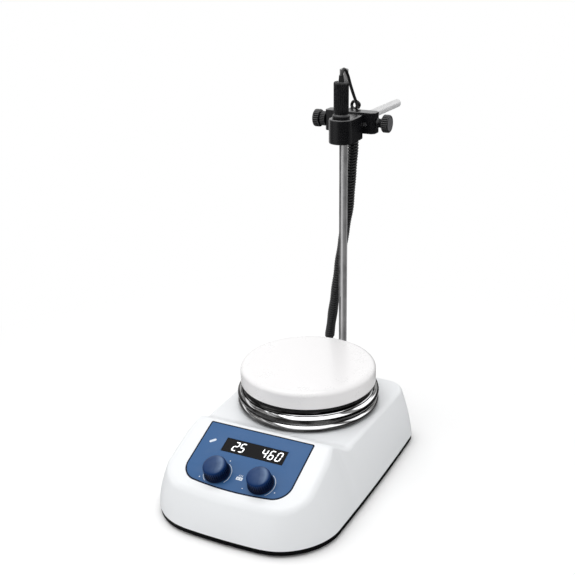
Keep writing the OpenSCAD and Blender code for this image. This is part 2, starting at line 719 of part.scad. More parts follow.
// Bent tube along a path, with one ring of points at each bend
ring_sides = 12;
function unit(v) = v / norm(v);
module tube(path, radius) {
  last = len(path) - 1;
  rings = [for (i = [0 : last])
    let (along = unit(unit(path[min(i + 1, last)] - path[max(i - 1, 0)])),
      across = unit(cross(along, [1, 0.01, 0])),
      third = cross(along, across))
    for (k = [0 : ring_sides - 1])
      let (a = 360 * k / ring_sides)
      path[i] + radius * (cos(a) * across + sin(a) * third)];
  quads = [for (i = [0 : last - 1], k = [0 : ring_sides - 1])
    let (next = (k + 1) % ring_sides, near = i * ring_sides, far = near + ring_sides)
    [near + k, near + next, far + next, far + k]];
  polyhedron(points = rings, faces = concat(
    [[for (k = [ring_sides - 1 : -1 : 0]) k]],
    [for (q = quads) [q[0], q[1], q[2]]],
    [for (q = quads) [q[0], q[2], q[3]]],
    [[for (k = [0 : ring_sides - 1]) last * ring_sides + k]]));
}
module cable_lead() color(BLACK)
  tube(concat(shifted(lead_from_handle, [arm_x, probe_y, handle_top]), [lead_end]), 1.3);
module coil_cord() color(BLACK)
  tube(concat(shifted(coil_upper, [0, 0, head_z]), coil_lower), coil_d / 2);
module cable_plug() color(BLACK) at_port(socket_x) facing_back() {
  drum(-3.8, 8, 5.3, 48);
  drum(3.2, 16, 7.4, 48);
  drum(19.2, 5, 6, 48);
  drum(24.2, 13.8, 3.2, 32);
}

housing_shell();
base_plate();
rubber_feet();
base_screws();
panel_overlay();
display_window();
display_digits();
display_board();
board_screws();
heat_encoder();
heat_plunger();
heat_shaft();
heat_knob();
speed_encoder();
speed_plunger();
speed_shaft();
speed_knob();
encoder_nuts();
main_board();
transformer();
power_inlet();
inlet_pins();
inlet_screws();
fuse_drawer();
switch_body();
power_rocker();
sensor_socket();
motor_bracket();
bracket_screws();
motor_can();
motor_stator();
motor_bearings();
rotor_shaft();
rotor_core();
magnet_carrier();
drive_magnets();
heating_plate();
plate_gasket();
heating_element();
insulation_disc();
plate_skirt();
reflector_pan();
plate_pillars();
pillar_screws();
plate_screws();
plate_sensor();
rod_holder();
support_rod();
head_bush();
boss_head();
rod_thumbscrew();
arm_thumbscrew();
cross_rod();
probe_holder();
probe_handle();
probe_stem();
cable_lead();
coil_cord();
cable_plug();
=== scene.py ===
# Heated stirrer with a stand rod, a clamp head and a probe on a coiled cable.
# The plate's axis is Z through the origin, the floor is just below z = 0, the sloped control
# panel faces the front (-Y) and the rod stands behind the case (+Y). X runs to the right.
# Shapes are written in millimetres; materials, lights and the camera are in metres.
import math

import bmesh
import bpy
import numpy as np
from mathutils import Matrix, Vector


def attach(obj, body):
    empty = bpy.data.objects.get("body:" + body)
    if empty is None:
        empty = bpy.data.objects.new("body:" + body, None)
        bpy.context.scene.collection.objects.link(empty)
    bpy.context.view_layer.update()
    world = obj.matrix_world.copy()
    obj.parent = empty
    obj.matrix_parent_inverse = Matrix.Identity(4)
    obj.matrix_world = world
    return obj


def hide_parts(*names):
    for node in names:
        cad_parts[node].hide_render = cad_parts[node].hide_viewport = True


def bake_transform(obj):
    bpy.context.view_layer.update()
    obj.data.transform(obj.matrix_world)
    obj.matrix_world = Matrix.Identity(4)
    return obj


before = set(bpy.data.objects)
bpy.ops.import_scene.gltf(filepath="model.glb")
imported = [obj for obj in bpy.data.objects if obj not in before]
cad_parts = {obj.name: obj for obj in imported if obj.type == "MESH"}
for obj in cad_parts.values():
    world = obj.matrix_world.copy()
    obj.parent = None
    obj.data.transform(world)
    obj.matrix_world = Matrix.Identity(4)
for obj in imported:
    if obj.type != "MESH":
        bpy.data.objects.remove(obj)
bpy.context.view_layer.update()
scene = bpy.context.scene
MM = 0.001
rad = math.radians


def move(x, y, z):
    return Matrix.Translation((x * MM, y * MM, z * MM))


def turn(degrees, axis):
    return Matrix.Rotation(rad(degrees), 4, axis)


# ------------------------------------------------------------------ driving dimensions
PANEL_TILT = 23                         # degrees
PANEL_Y, PANEL_Z = -92, 67.6            # top edge of the panel
PANEL = move(0, PANEL_Y, PANEL_Z) @ turn(PANEL_TILT, "X")
PANEL_NORMAL = (0.0, -math.sin(rad(PANEL_TILT)), math.cos(rad(PANEL_TILT)))
REAR = move(0, 75.4, 30) @ turn(8.3, "X")
REAR_ROW = -9                           # height of the connectors in the REAR frame
INLET_X, INLET_SCREW_OFFSET, CONNECTOR_X = 37, 19.7, -34
MIDDLE = 2.0                            # x the dials and the window are centred on
DIAL_ROW, WINDOW_ROW = -50.0, -20.5     # places down the panel
DIAL_X = {"heat": MIDDLE - 21.0, "speed": MIDDLE + 21.0}
CASE_SCREWS = ((58, -134), (71, -8), (67, 42))     # right-hand ones, mirrored to the left
FEET = [(side * 64, y) for side in (-1, 1) for y in (-108, 60)]
ROD_Y = 80
CLAMP_BOTTOM, HEAD_Z, CLAMP_TOP = 299, 308.5, 318
PROBE_X, PROBE_Y = 12, 47
CAMERA_YAW = 0.416057
CAMERA_RIGHT = (math.cos(CAMERA_YAW), math.sin(CAMERA_YAW), 0.0)


# ------------------------------------------------------------------ mesh helpers
def link(item):
    scene.collection.objects.link(item)
    return item


def finish_mesh(mesh, angle=32):
    mesh.validate()
    mesh.shade_smooth()
    mesh.set_sharp_from_angle(angle=rad(angle))


def make_piece(name, verts, faces, angle=32, merge=0.0):
    """Object from points in millimetres, with its normals pointing outwards."""
    mesh = bpy.data.meshes.new(name)
    mesh.from_pydata([tuple(float(c) * MM for c in v) for v in verts], [], faces)
    bm = bmesh.new()
    bm.from_mesh(mesh)
    if merge:
        bmesh.ops.remove_doubles(bm, verts=bm.verts, dist=merge * MM)
        bmesh.ops.dissolve_degenerate(bm, dist=1e-7, edges=bm.edges)
    bmesh.ops.recalc_face_normals(bm, faces=bm.faces)
    bm.to_mesh(mesh)
    bm.free()
    finish_mesh(mesh, angle)
    return link(bpy.data.objects.new(name, mesh))


def place(piece, matrix):
    """Moves a piece's mesh by a matrix."""
    piece.data.transform(matrix)
    return piece


def aim(piece, x, y, z, toward):
    """Moves a piece built along +Z so that it starts at (x, y, z) and points along an axis."""
    turns = {"y": turn(-90, "X"), "x": turn(90, "Y"), "-x": turn(-90, "Y")}
    return place(piece, move(x, y, z) @ turns[toward])


def on_rear(x, z):
    """Frame on the rear wall with +Z pointing out of it."""
    return REAR @ move(x, 0, z) @ turn(-90, "X")


def evaluated_mesh(item):
    depsgraph = bpy.context.evaluated_depsgraph_get()
    return bpy.data.meshes.new_from_object(item.evaluated_get(depsgraph))


def apply_modifiers(piece):
    mesh, old = evaluated_mesh(piece), piece.data
    piece.modifiers.clear()
    piece.data = mesh
    mesh.name = piece.name
    bpy.data.meshes.remove(old)
    finish_mesh(mesh)
    return piece


def join(pieces, name="part"):
    bm = bmesh.new()
    for piece in pieces:
        bm.from_mesh(piece.data)
        bpy.data.objects.remove(piece)
    mesh = bpy.data.meshes.new(name)
    bm.to_mesh(mesh)
    bm.free()
    finish_mesh(mesh)
    return link(bpy.data.objects.new(name, mesh))


def boolean(piece, tools, operation="DIFFERENCE"):
    """Cuts away, or adds, each tool in turn and removes it."""
    for tool in tools:
        modifier = piece.modifiers.new("b", "BOOLEAN")
        modifier.operation = operation
        modifier.solver = "EXACT"
        modifier.object = tool
        apply_modifiers(piece)
        bpy.data.objects.remove(tool)
    return piece


def set_bevel(modifier, width, segments, limit):
    modifier.width = width * MM
    modifier.segments = segments
    modifier.limit_method = "ANGLE"
    modifier.angle_limit = rad(limit)
    modifier.use_clamp_overlap = True


def bevel(piece, width, segments, limit=40):
    set_bevel(piece.modifiers.new("v", "BEVEL"), width, segments, limit)
    return apply_modifiers(piece)


def weighted(piece):
    modifier = piece.modifiers.new("wn", "WEIGHTED_NORMAL")
    modifier.keep_sharp = True
    modifier.weight = 60
    return piece


def give(piece, body, material, slot, *replaced):
    """Material, moving body, part slot (not used) and the CAD nodes a piece stands in for."""
    piece.data.materials.clear()
    piece.data.materials.append(material)
    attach(piece, body)
    if replaced:
        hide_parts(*replaced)
    return piece


# ------------------------------------------------------------------ outlines
def arc(x, y, radius, start, end, steps):
    """Points along an arc between two angles in degrees."""
    angles = [rad(start + (end - start) * i / steps) for i in range(steps + 1)]
    return [(x + radius * math.cos(a), y + radius * math.sin(a)) for a in angles]


def circle(radius, steps, x, y):
    return arc(x, y, radius, 0, 360, steps)[:-1]


def capsule(ax, ay, bx, by, radius, steps):
    heading = math.degrees(math.atan2(by - ay, bx - ax))
    return (arc(ax, ay, radius, heading + 90, heading + 270, steps)
            + arc(bx, by, radius, heading - 90, heading + 90, steps))


def rectangle(x0, y0, x1, y1):
    return [(x0, y0), (x1, y0), (x1, y1), (x0, y1)]


def centred(x, y, half_width, half_height):
    """Corners (x0, y0, x1, y1) of a rectangle about a centre."""
    return x - half_width, y - half_height, x + half_width, y + half_height


def rounded(points, steps):
    """Outline with rounded corners: each entry is (x, y, corner radius)."""
    outline = []
    for i, (x, y, radius) in enumerate(points):
        corner = Vector((x, y))
        before = Vector(points[i - 1][:2]) - corner
        after = Vector(points[(i + 1) % len(points)][:2]) - corner
        room = min(before.length * 0.49, after.length * 0.49)
        before.normalize()
        after.normalize()
        half = before.angle(after) / 2
        reach = min(radius / math.tan(half), room)
        fitted = reach * math.tan(half)
        centre = corner + (before + after).normalized() * (fitted / math.sin(half))
        first = corner + before * reach - centre
        last = corner + after * reach - centre
        start = math.atan2(first.y, first.x)
        sweep = (math.atan2(last.y, last.x) - start + math.pi) % (2 * math.pi) - math.pi
        for j in range(steps + 1):
            a = start + sweep * j / steps
            outline.append((centre.x + fitted * math.cos(a), centre.y + fitted * math.sin(a)))
    return outline


def soft_rectangle(x0, y0, x1, y1, radius, steps):
    return rounded([(x, y, radius) for x, y in rectangle(x0, y0, x1, y1)], steps)


def mirrored(half):
    """Closes the right half of an outline with its mirror image, sharing middle points."""
    return half + [(-x, y) for x, y in half[::-1] if abs(x) > 0.01]


# ------------------------------------------------------------------ solids
def lathe(profile, segments, radius_at=None, angle=32, name="part"):
    """Solid of revolution about Z from (radius, z) points; radius_at may change the radius."""
    verts, faces, rows = [], [], []
    for radius, z in profile:
        count = segments if radius else 1
        rows.append(range(len(verts), len(verts) + count))
        for i in range(count):
            theta = 2 * math.pi * i / segments
            r = radius_at(radius, z, theta) if radius and radius_at else radius
            verts.append((r * math.cos(theta), r * math.sin(theta), z))
    pairs = list(zip(rows, rows[1:]))
    if profile[0][0] or profile[-1][0]:
        pairs.append((rows[-1], rows[0]))
    for low, high in pairs:
        for i in range(segments):
            j = (i + 1) % segments
            if len(low) == 1:
                faces.append((low[0], high[i], high[j]))
            elif len(high) == 1:
                faces.append((low[i], low[j], high[0]))
            else:
                faces.append((low[i], low[j], high[j], high[i]))
    return make_piece(name, verts, faces, angle)


def fluted(floor, z0, z1, depth, count, power, ease, ease_top):
    """Grooves for a lathe where the radius reaches floor, easing in over ease and out at z1."""
    def radius_at(radius, z, theta):
        if radius < floor:
            return radius
        fade = max(0, min(1, (z - z0) / ease, (z1 - z) / ease_top))
        return radius - depth * fade * (0.5 - 0.5 * math.cos(count * theta)) ** power
    return radius_at


def prism(outline, z0, z1, name="part"):
    n = len(outline)
    verts = [(x, y, z) for z in (z0, z1) for x, y in outline]
    faces = [tuple(range(n))[::-1], tuple(range(n, 2 * n))]
    faces += [(i, (i + 1) % n, n + (i + 1) % n, n + i) for i in range(n)]
    return make_piece(name, verts, faces)


def box(x0, y0, z0, x1, y1, z1):
    return prism(rectangle(x0, y0, x1, y1), z0, z1)


def cylinder(radius, z0, z1, segments=48, x=0, y=0):
    profile = [(0, z0), (radius, z0), (radius, z1), (0, z1)]
    return place(lathe(profile, segments), move(x, y, 0))


def film(outline, holes, z0, z1, edge, name="part"):
    """Thin plate with holes, its edges rounded by edge."""
    flat = bpy.data.curves.new(name, "CURVE")
    flat.dimensions = "2D"
    flat.fill_mode = "BOTH"
    flat.extrude = (z1 - z0) / 2 * MM - edge * MM
    flat.bevel_depth = edge * MM
    flat.bevel_resolution = 1
    flat.offset = -edge * MM
    for ring in [outline] + holes:
        spline = flat.splines.new("POLY")
        spline.points.add(len(ring) - 1)
        for point, (x, y) in zip(spline.points, ring):
            point.co = (x * MM, y * MM, 0, 1)
        spline.use_cyclic_u = True
    source = link(bpy.data.objects.new(name, flat))
    mesh = evaluated_mesh(source)
    bpy.data.objects.remove(source)
    mesh.name = name
    piece = link(bpy.data.objects.new(name, mesh))
    bm = bmesh.new()
    bm.from_mesh(mesh)
    bmesh.ops.remove_doubles(bm, verts=bm.verts, dist=1e-6)
    bmesh.ops.recalc_face_normals(bm, faces=bm.faces)
    bm.to_mesh(mesh)
    bm.free()
    place(piece, move(0, 0, (z0 + z1) / 2))
    finish_mesh(mesh, 30)
    return piece


def smooth_path(points, step):
    """Catmull-Rom curve through the points, sampled about every step millimetres."""
    points = [Vector(p) for p in points]
    points = [points[0] * 2 - points[1]] + points + [points[-1] * 2 - points[-2]]
    path = []
    for a, b, c, d in zip(points, points[1:], points[2:], points[3:]):
        count = max(2, int((c - b).length / step))
        for j in range(count):
            t = j / count
            path.append(0.5 * ((2 * b) + (c - a) * t + (2 * a - 5 * b + 4 * c - d) * t * t
                               + (3 * b - a - 3 * c + d) * t ** 3))
    path.append(points[-2].copy())
    return path


def path_normals(path):
    """Two normals at each point of a path that don't twist about it."""
    ends = [path[0]] + path + [path[-1]]
    tangents = [(after - before).normalized() for before, after in zip(ends, ends[2:])]
    normal = tangents[0].orthogonal().normalized()
    result = []
    for tangent in tangents:
        normal = (normal - tangent * normal.dot(tangent)).normalized()
        result.append((normal, tangent.cross(normal)))
    return result


def tube(name, path, radius, sides):
    verts, faces = [], []
    for point, (across, other) in zip(path, path_normals(path)):
        for k in range(sides):
            a = 2 * math.pi * k / sides
            verts.append(point + (across * math.cos(a) + other * math.sin(a)) * radius)
    for i in range(len(path) - 1):
        row, following = i * sides, (i + 1) * sides
        for k in range(sides):
            k2 = (k + 1) % sides
            faces.append((row + k, row + k2, following + k2, following + k))
    faces.append(tuple(range(sides))[::-1])
    faces.append(tuple(range(len(verts) - sides, len(verts))))
    return make_piece(name, verts, faces, 50)


# ------------------------------------------------------------------ shader helpers
def add_node(tree, kind, inputs=None, **settings):
    """Shader node with its settings; each input is a value or a socket to link from."""
    made = tree.nodes.new("ShaderNode" + kind)
    for key, value in settings.items():
        setattr(made, key, value)
    for key, value in (inputs or {}).items():
        if isinstance(value, bpy.types.NodeSocket):
            tree.links.new(value, made.inputs[key])
        else:
            made.inputs[key].default_value = value
    return made


def map_range(tree, source, lo, hi, to, **settings):
    values = {"From Min": lo, "From Max": hi, "To Min": to[0], "To Max": to[1]}
    return add_node(tree, "MapRange", {**values, "Value": source}, **settings).outputs[0]


def shade(color, factor):
    return tuple(c * factor for c in color)


class Surface:
    """Material built up in layers of colour, roughness and bump."""

    def __init__(self, name, color, rough, metal=0.0, spec=0.5, coat=0.0, coat_rough=0.1):
        self.material = bpy.data.materials.new(name)
        self.material.use_nodes = True
        self.material.diffuse_color = (*color, 1)
        self.tree = self.material.node_tree
        self.shader = self.tree.nodes["Principled BSDF"]
        for key, value in {"Metallic": metal, "Specular IOR Level": spec, "IOR": 1.5,
                           "Coat Weight": coat, "Coat Roughness": coat_rough}.items():
            self.shader.inputs[key].default_value = value
        self.position = self.node("TexCoord").outputs["Object"]
        self.color = self.node("RGB").outputs[0]
        self.color.default_value = (*color, 1)
        self.rough = self.node("Value").outputs[0]
        self.rough.default_value = rough
        self.bumps = []

    def node(self, kind, inputs=None, **settings):
        return add_node(self.tree, kind, inputs, **settings)

    def noise(self, scale, detail=3, rough=0.55, stretch=(1, 1, 1), distort=0.0, vector=None):
        mapping = self.node("Mapping", {"Scale": stretch, "Vector": vector or self.position})
        return self.node("TexNoise", {
            "Scale": scale, "Detail": detail, "Roughness": rough, "Distortion": distort,
            "Vector": mapping.outputs[0]}).outputs["Fac"]

    def ramp(self, source, lo, hi, to=(0.0, 1.0)):
        return map_range(self.tree, source, lo, hi, to)

    def math(self, operation, first, second, **settings):
        inputs = {0: first, 1: second}
        return self.node("Math", inputs, operation=operation, **settings).outputs[0]

    def dot(self, vector, axis):
        inputs = {0: vector, 1: axis}
        return self.node("VectorMath", inputs, operation="DOT_PRODUCT").outputs["Value"]

    def normal(self):
        return self.node("NewGeometry").outputs["Normal"]

    def curve(self, source, stops):
        """Piecewise-linear look-up of a value in -1..1 from (value, level) stops."""
        ramp = self.node("ValToRGB", {0: self.ramp(source, lo=-1, hi=1)})
        elements = ramp.color_ramp.elements
        while len(elements) > 1:
            elements.remove(elements[0])
        for k, (value, level) in enumerate(stops):
            place_on_ramp = (value + 1) / 2
            element = elements.new(place_on_ramp) if k else elements[0]
            element.position = place_on_ramp
            element.color = (level, level, level, 1)
        return ramp.outputs[0]

    def mix(self, factor, color, amount=1.0):
        """Lays a colour over what is there, where factor is 1."""
        if amount != 1.0:
            factor = self.math("MULTIPLY", factor, amount)
        inputs = {"Factor": factor, "A": self.color, "B": (*color, 1)}
        self.color = self.node("Mix", inputs, data_type="RGBA").outputs["Result"]

    def drift(self, color, scale, amount=1.0, detail=3):
        self.mix(self.ramp(self.noise(scale, detail), lo=0.35, hi=0.7), color, amount)

    def gloss(self, source, spread):
        """Varies the roughness by up to spread either way."""
        change = self.ramp(source, lo=0.25, hi=0.75, to=(-spread, spread))
        self.rough = self.math("ADD", self.rough, change, use_clamp=True)

    def bump(self, source, distance):
        self.bumps.append((source, distance))

    def painted_crease_shade(self, color, distance, amount):
        """Painted shade: darkens the corners."""
        occlusion = self.node("AmbientOcclusion", {"Distance": distance}, samples=4)
        corners = self.ramp(occlusion.outputs["AO"], lo=0.35, hi=0.95, to=(1.0, 0.0))
        self.mix(corners, color, amount)

    def edge(self, color, radius, amount):
        """Rubbed edges and a painted edge highlight, broken up by noise."""
        soft = self.node("Bevel", {"Radius": radius}, samples=4)
        found = self.ramp(self.dot(soft.outputs[0], self.normal()), lo=0.97, hi=0.80)
        broken = self.ramp(self.noise(400, detail=4), lo=0.4, hi=0.6)
        self.mix(self.math("MULTIPLY", found, broken), color, amount)

    def done(self):
        self.tree.links.new(self.color, self.shader.inputs["Base Color"])
        self.tree.links.new(self.rough, self.shader.inputs["Roughness"])
        normal = None
        for source, distance in self.bumps:
            inputs = {"Strength": 1.0, "Distance": distance, "Height": source}
            if normal:
                inputs["Normal"] = normal
            normal = self.node("Bump", inputs).outputs[0]
        if normal:
            self.tree.links.new(normal, self.shader.inputs["Normal"])
        return self.material


# ------------------------------------------------------------------ materials
def moulded(name, color, rough, grain, depth, drift, painted_crease_shade,
            coat=0.0, spec=0.5, edge=None, edge_wear_and_highlight=0.5):
    """Plastic, paint or print: grain is the bump's scale, depth its height; the corners get painted
    shade.
    """
    s = Surface(name, color, rough, coat=coat, spec=spec, coat_rough=0.15)
    s.drift(shade(color, 1 - drift), scale=18)
    s.drift(shade(color, 1 - drift * 0.8), scale=160, amount=0.6, detail=5)
    s.gloss(s.noise(35, detail=4), spread=0.05)
    s.gloss(s.noise(700, detail=2), spread=0.03)
    s.bump(s.noise(grain, detail=2), depth)
    # painted shade in the corners
    if painted_crease_shade:
        s.painted_crease_shade(shade(color, 0.55), distance=0.004, amount=painted_crease_shade)
    # light edges: rubbed wear and a painted edge highlight
    if edge:
        s.edge(edge, radius=0.0006, amount=edge_wear_and_highlight)
    return s.done()


def metal(name, color, rough, scale, depth, smudge, stretch=(1, 1, 1), edge=None):
    s = Surface(name, color, rough, metal=1.0)
    s.drift(shade(color, 1 - 0.06), scale=60, detail=5)
    s.gloss(s.noise(45, detail=5, distort=0.4), spread=smudge)
    fine = s.noise(scale, stretch=stretch)
    s.gloss(fine, spread=smudge * 0.6)
    s.bump(fine, depth)
    # painted shade in the corners
    s.painted_crease_shade(shade(color, 0.35), distance=0.003, amount=0.35)
    if edge:
        s.edge(edge, radius=0.0004, amount=0.5)
    return s.done()


def lit_segments():
    color = (0.93, 0.95, 0.96)
    s = Surface("lit_segments", color, rough=0.4)
    s.drift(shade(color, 0.93), scale=900)
    s.gloss(s.noise(500), spread=0.05)
    s.bump(s.noise(3000), distance=0.00001)
    s.tree.links.new(s.color, s.shader.inputs["Emission Color"])
    s.shader.inputs["Emission Strength"].default_value = 0.95
    return s.done()


def chrome():
    """Bright chrome with a painted reflection of a dark studio: dark below, bright above, broken up
    to the sides.
    """
    s = Surface("polished_chrome", (0.95, 0.95, 0.96), rough=0.035, metal=1.0)
    reflection = s.node("TexCoord").outputs["Reflection"]
    height = s.node("SeparateXYZ", {0: s.position}).outputs["Z"]
    lower_roll = s.ramp(height, lo=0.0645, hi=0.0635, to=(0.0, 0.42))
    up = s.math("ADD", s.dot(reflection, (0, 0, 1)), lower_roll)
    above = s.curve(up, [(-1, .05), (-.75, .02), (-.2, .02), (.20, .03), (.28, .95),
                         (.97, 1.0), (1, .8)])
    # place across the camera's view in skirt radii, leaning with height, for the painted reflection
    across = s.math("DIVIDE", s.dot(s.position, CAMERA_RIGHT), 0.0672)
    lean = s.math("MULTIPLY", s.math("SUBTRACT", up, 0.6), 0.24)
    bands = s.curve(s.math("ADD", across, lean), [
        (-1, .02), (-.88, .03), (-.85, .5), (-.80, .55), (-.77, .05), (-.52, .04), (-.48, .4),
        (-.44, .05), (-.31, .04), (-.23, 1), (.51, 1), (.55, .08), (.66, .10), (.70, 1),
        (.86, .95), (.89, .05), (1, .03)])
    # painted glints in streaks over the reflection direction
    cloud = s.noise(2.4, detail=2, rough=0.5, stretch=(1.2, 1.2, 5.5), vector=reflection)
    painted_glint_streaks = s.ramp(cloud, lo=0.58, hi=0.61, to=(0.0, 0.32))
    bright = s.math("MAXIMUM", s.math("MULTIPLY", above, bands),
                    s.math("MULTIPLY", painted_glint_streaks, s.math("MULTIPLY", above, 0.9)))
    # painted reflection: the colour goes dark where nothing bright is painted
    s.mix(s.math("SUBTRACT", 1.0, bright), (0.007, 0.006, 0.0055))
    s.drift((0.80, 0.79, 0.78), scale=55, amount=0.12, detail=5)
    s.gloss(s.noise(60, detail=5), spread=0.015)
    s.bump(s.noise(900), distance=0.0000005)
    return s.done()


def streaked(name, base, rough, stops, metallic, axis=CAMERA_RIGHT, stretch=(1, 1, 0.02),
             dark=(0.004, 0.004, 0.004), spec=0.5):
    """Drawn bar: painted light and dark reflection stripes lengthwise round it, with fine grinding
    lines.
    """
    s = Surface(name, base, rough, metal=metallic, spec=spec)
    # painted reflection: light and dark by the way the surface faces
    bands = s.curve(s.dot(s.normal(), axis), stops)
    s.mix(s.math("SUBTRACT", 1.0, bands), dark)
    s.drift(shade(base, 0.9), scale=60, amount=0.25, detail=5)
    fine = s.noise(2200, stretch=stretch)
    s.gloss(fine, spread=0.05)
    s.gloss(s.noise(45, detail=5, distort=0.4), spread=0.05)
    s.bump(fine, distance=0.000003)
    # painted shade in the corners
    s.painted_crease_shade(shade(base, 0.35), distance=0.003, amount=0.35)
    return s.done()


def knob_paint():
    """Satin navy with painted shade, darkest down at the skirt, and a painted highlight on top."""
    s = Surface("navy_knob", (0.004, 0.028, 0.112), rough=0.33, spec=0.08)
    panel_level = (PANEL_Y * PANEL_NORMAL[1] + PANEL_Z * PANEL_NORMAL[2]) * MM
    height = s.math("SUBTRACT", s.dot(s.position, PANEL_NORMAL), panel_level)
    # painted shade, darker down towards the panel
    s.mix(s.ramp(height, lo=0.0122, hi=0.0062), (0.0001, 0.0018, 0.0145), amount=0.98)
    normal = s.normal()
    # painted highlight on the top, towards the camera's right
    painted_highlight = s.curve(s.dot(normal, CAMERA_RIGHT), [
        (-1, 0), (-.40, .10), (-.12, .22), (.06, .70), (.16, 1.0), (.26, .72), (.5, .12), (1, 0)])
    facing_up = s.ramp(s.dot(normal, PANEL_NORMAL), lo=0.74, hi=0.95)
    s.mix(s.math("MULTIPLY", painted_highlight, facing_up), (0.20, 0.28, 0.42), amount=0.85)
    s.drift((0.0045, 0.024, 0.085), scale=160, amount=0.3, detail=5)
    s.gloss(s.noise(35, detail=4), spread=0.05)
    s.bump(s.noise(2600, detail=2), distance=0.00002)
    # painted shade in the corners
    s.painted_crease_shade((0.0006, 0.003, 0.018), distance=0.003, amount=0.9)
    return s.done()


WHITE = moulded("white_abs", (0.80, 0.815, 0.83), rough=0.38, grain=3200, depth=0.000012,
                coat=0.08, drift=0.015, painted_crease_shade=0.3)
ENAMEL = moulded("white_enamel", (0.82, 0.81, 0.812), rough=0.30, grain=1400, depth=0.00001,
                 coat=0.25, drift=0.01, painted_crease_shade=0.2)
BASE = moulded("black_base_abs", (0.004, 0.004, 0.0045), rough=0.45, grain=1800,
               depth=0.00004, drift=0.25, spec=0.12, painted_crease_shade=0.2)
RUBBER = moulded("black_rubber", (0.007, 0.007, 0.007), rough=0.78, grain=1500,
                 depth=0.00005, drift=0.35, spec=0.25, painted_crease_shade=0.2)
CABLE = moulded("cable_sheath", (0.004, 0.004, 0.005), rough=0.36, grain=2400,
                depth=0.00002, drift=0.3, painted_crease_shade=0.0)
# light edges on the black paint: rubbed wear and a painted edge highlight
PAINT = moulded("black_powder_coat", (0.0018, 0.0018, 0.003), rough=0.27, grain=1500,
                depth=0.00003, drift=0.25, spec=0.9, painted_crease_shade=0.25,
                edge=(0.46, 0.46, 0.49), edge_wear_and_highlight=0.95)
GRIP = moulded("black_grip", (0.002, 0.002, 0.003), rough=0.33, grain=2200, depth=0.00003,
               drift=0.3, painted_crease_shade=0.5, edge=(0.20, 0.20, 0.21), edge_wear_and_highlight=0.8)
FACE = moulded("turned_face", (0.10, 0.10, 0.105), rough=0.42, grain=1800, depth=0.00001,
               drift=0.15, painted_crease_shade=0.1)
BLUE = moulded("blue_film", (0.034, 0.108, 0.262), rough=0.38, grain=3800, depth=0.000012,
               drift=0.05, spec=0.22, painted_crease_shade=0.4)
BLUE_EDGE = moulded("dark_film_edge", (0.0004, 0.003, 0.012), rough=0.45, grain=3000,
                    depth=0.00001, drift=0.1, spec=0.1, painted_crease_shade=0.0)
INK = moulded("white_ink", (0.66, 0.72, 0.80), rough=0.5, grain=4000, depth=0.00001,
              drift=0.05, painted_crease_shade=0.0)
WINDOW = moulded("black_window", (0.002, 0.0015, 0.0017), rough=0.18, grain=500,
                 depth=0.000004, drift=0.3, spec=0.06, painted_crease_shade=0.0)
UNLIT = moulded("unlit_segments", (0.0026, 0.002, 0.0022), rough=0.22, grain=2000,
                depth=0.000005, drift=0.2, spec=0.07, painted_crease_shade=0.0)
PCB = moulded("green_board", (0.012, 0.10, 0.045), rough=0.32, grain=900, depth=0.00004,
              drift=0.25, coat=0.3, painted_crease_shade=0.2)
WOOL = moulded("insulation_board", (0.62, 0.58, 0.48), rough=0.9, grain=700, depth=0.0003,
               drift=0.15, painted_crease_shade=0.2)
CERAMIC = moulded("heater_ceramic", (0.42, 0.36, 0.28), rough=0.75, grain=900,
                  depth=0.00008, drift=0.15, painted_crease_shade=0.2)
DIGIT = lit_segments()
NAVY = knob_paint()
CHROME = chrome()
# stops of the painted reflection stripes round each bar
ROD = streaked("ground_steel", (0.62, 0.615, 0.62), rough=0.26, metallic=0.12, spec=0.2, stops=[
    (-1, .18), (-.86, .18), (-.76, .09), (-.62, .09), (-.52, .40), (-.43, .86), (-.16, .86),
    (-.03, .50), (.08, .27), (.32, .31), (.55, .19), (.76, .33), (.88, .52), (.97, .52), (1, .2)])
STEM = streaked("probe_steel", (0.66, 0.655, 0.66), rough=0.26, metallic=0.10, spec=0.15, stops=[
    (-1, .14), (-.75, .08), (-.12, .06), (.08, .40), (.26, .92), (.85, .92), (1, .60)])
ARM = streaked("satin_steel", (0.86, 0.86, 0.865), rough=0.34, metallic=0.35,
               axis=(0.30, 0, 0.95), stretch=(1, 0.02, 1), dark=(0.22, 0.22, 0.22),
               stops=[(-1, .6), (-.5, .8), (0, 1), (.5, .9), (.85, .6), (1, .4)])
BEARING = metal("bearing_steel", (0.72, 0.72, 0.73), rough=0.16, stretch=(1, 1, 0.02),
                scale=2200, depth=0.000003, smudge=0.05)
SCREW = metal("zinc_screw", (0.62, 0.62, 0.63), rough=0.30, scale=1500, depth=0.00001,
              smudge=0.08, edge=(0.85, 0.85, 0.86))
SHEET = metal("plated_sheet", (0.56, 0.57, 0.59), rough=0.38, scale=1100, depth=0.000008,
              smudge=0.08, edge=(0.78, 0.78, 0.8))
COPPER = metal("winding_copper", (0.62, 0.28, 0.12), rough=0.34, stretch=(1, 1, 8),
               scale=500, depth=0.00004, smudge=0.06)
GOLD = metal("plated_contact", (0.78, 0.60, 0.28), rough=0.28, scale=1200, depth=0.000006,
             smudge=0.05)

# ------------------------------------------------------------------ housing
# Ends of the case: half width, corner radius, y (down the slope for TOP_FRONT), bow,
# and the sign that leads from the end towards the middle of the case.
FOOT_FRONT = (87.5, 45.0, -170.0, 7.4, 1)
FOOT_REAR = (87.5, 20.0, 78.5, 4.5, -1)
TOP_FRONT = (69.3, 24.0, -74.0, 5.0, 1)
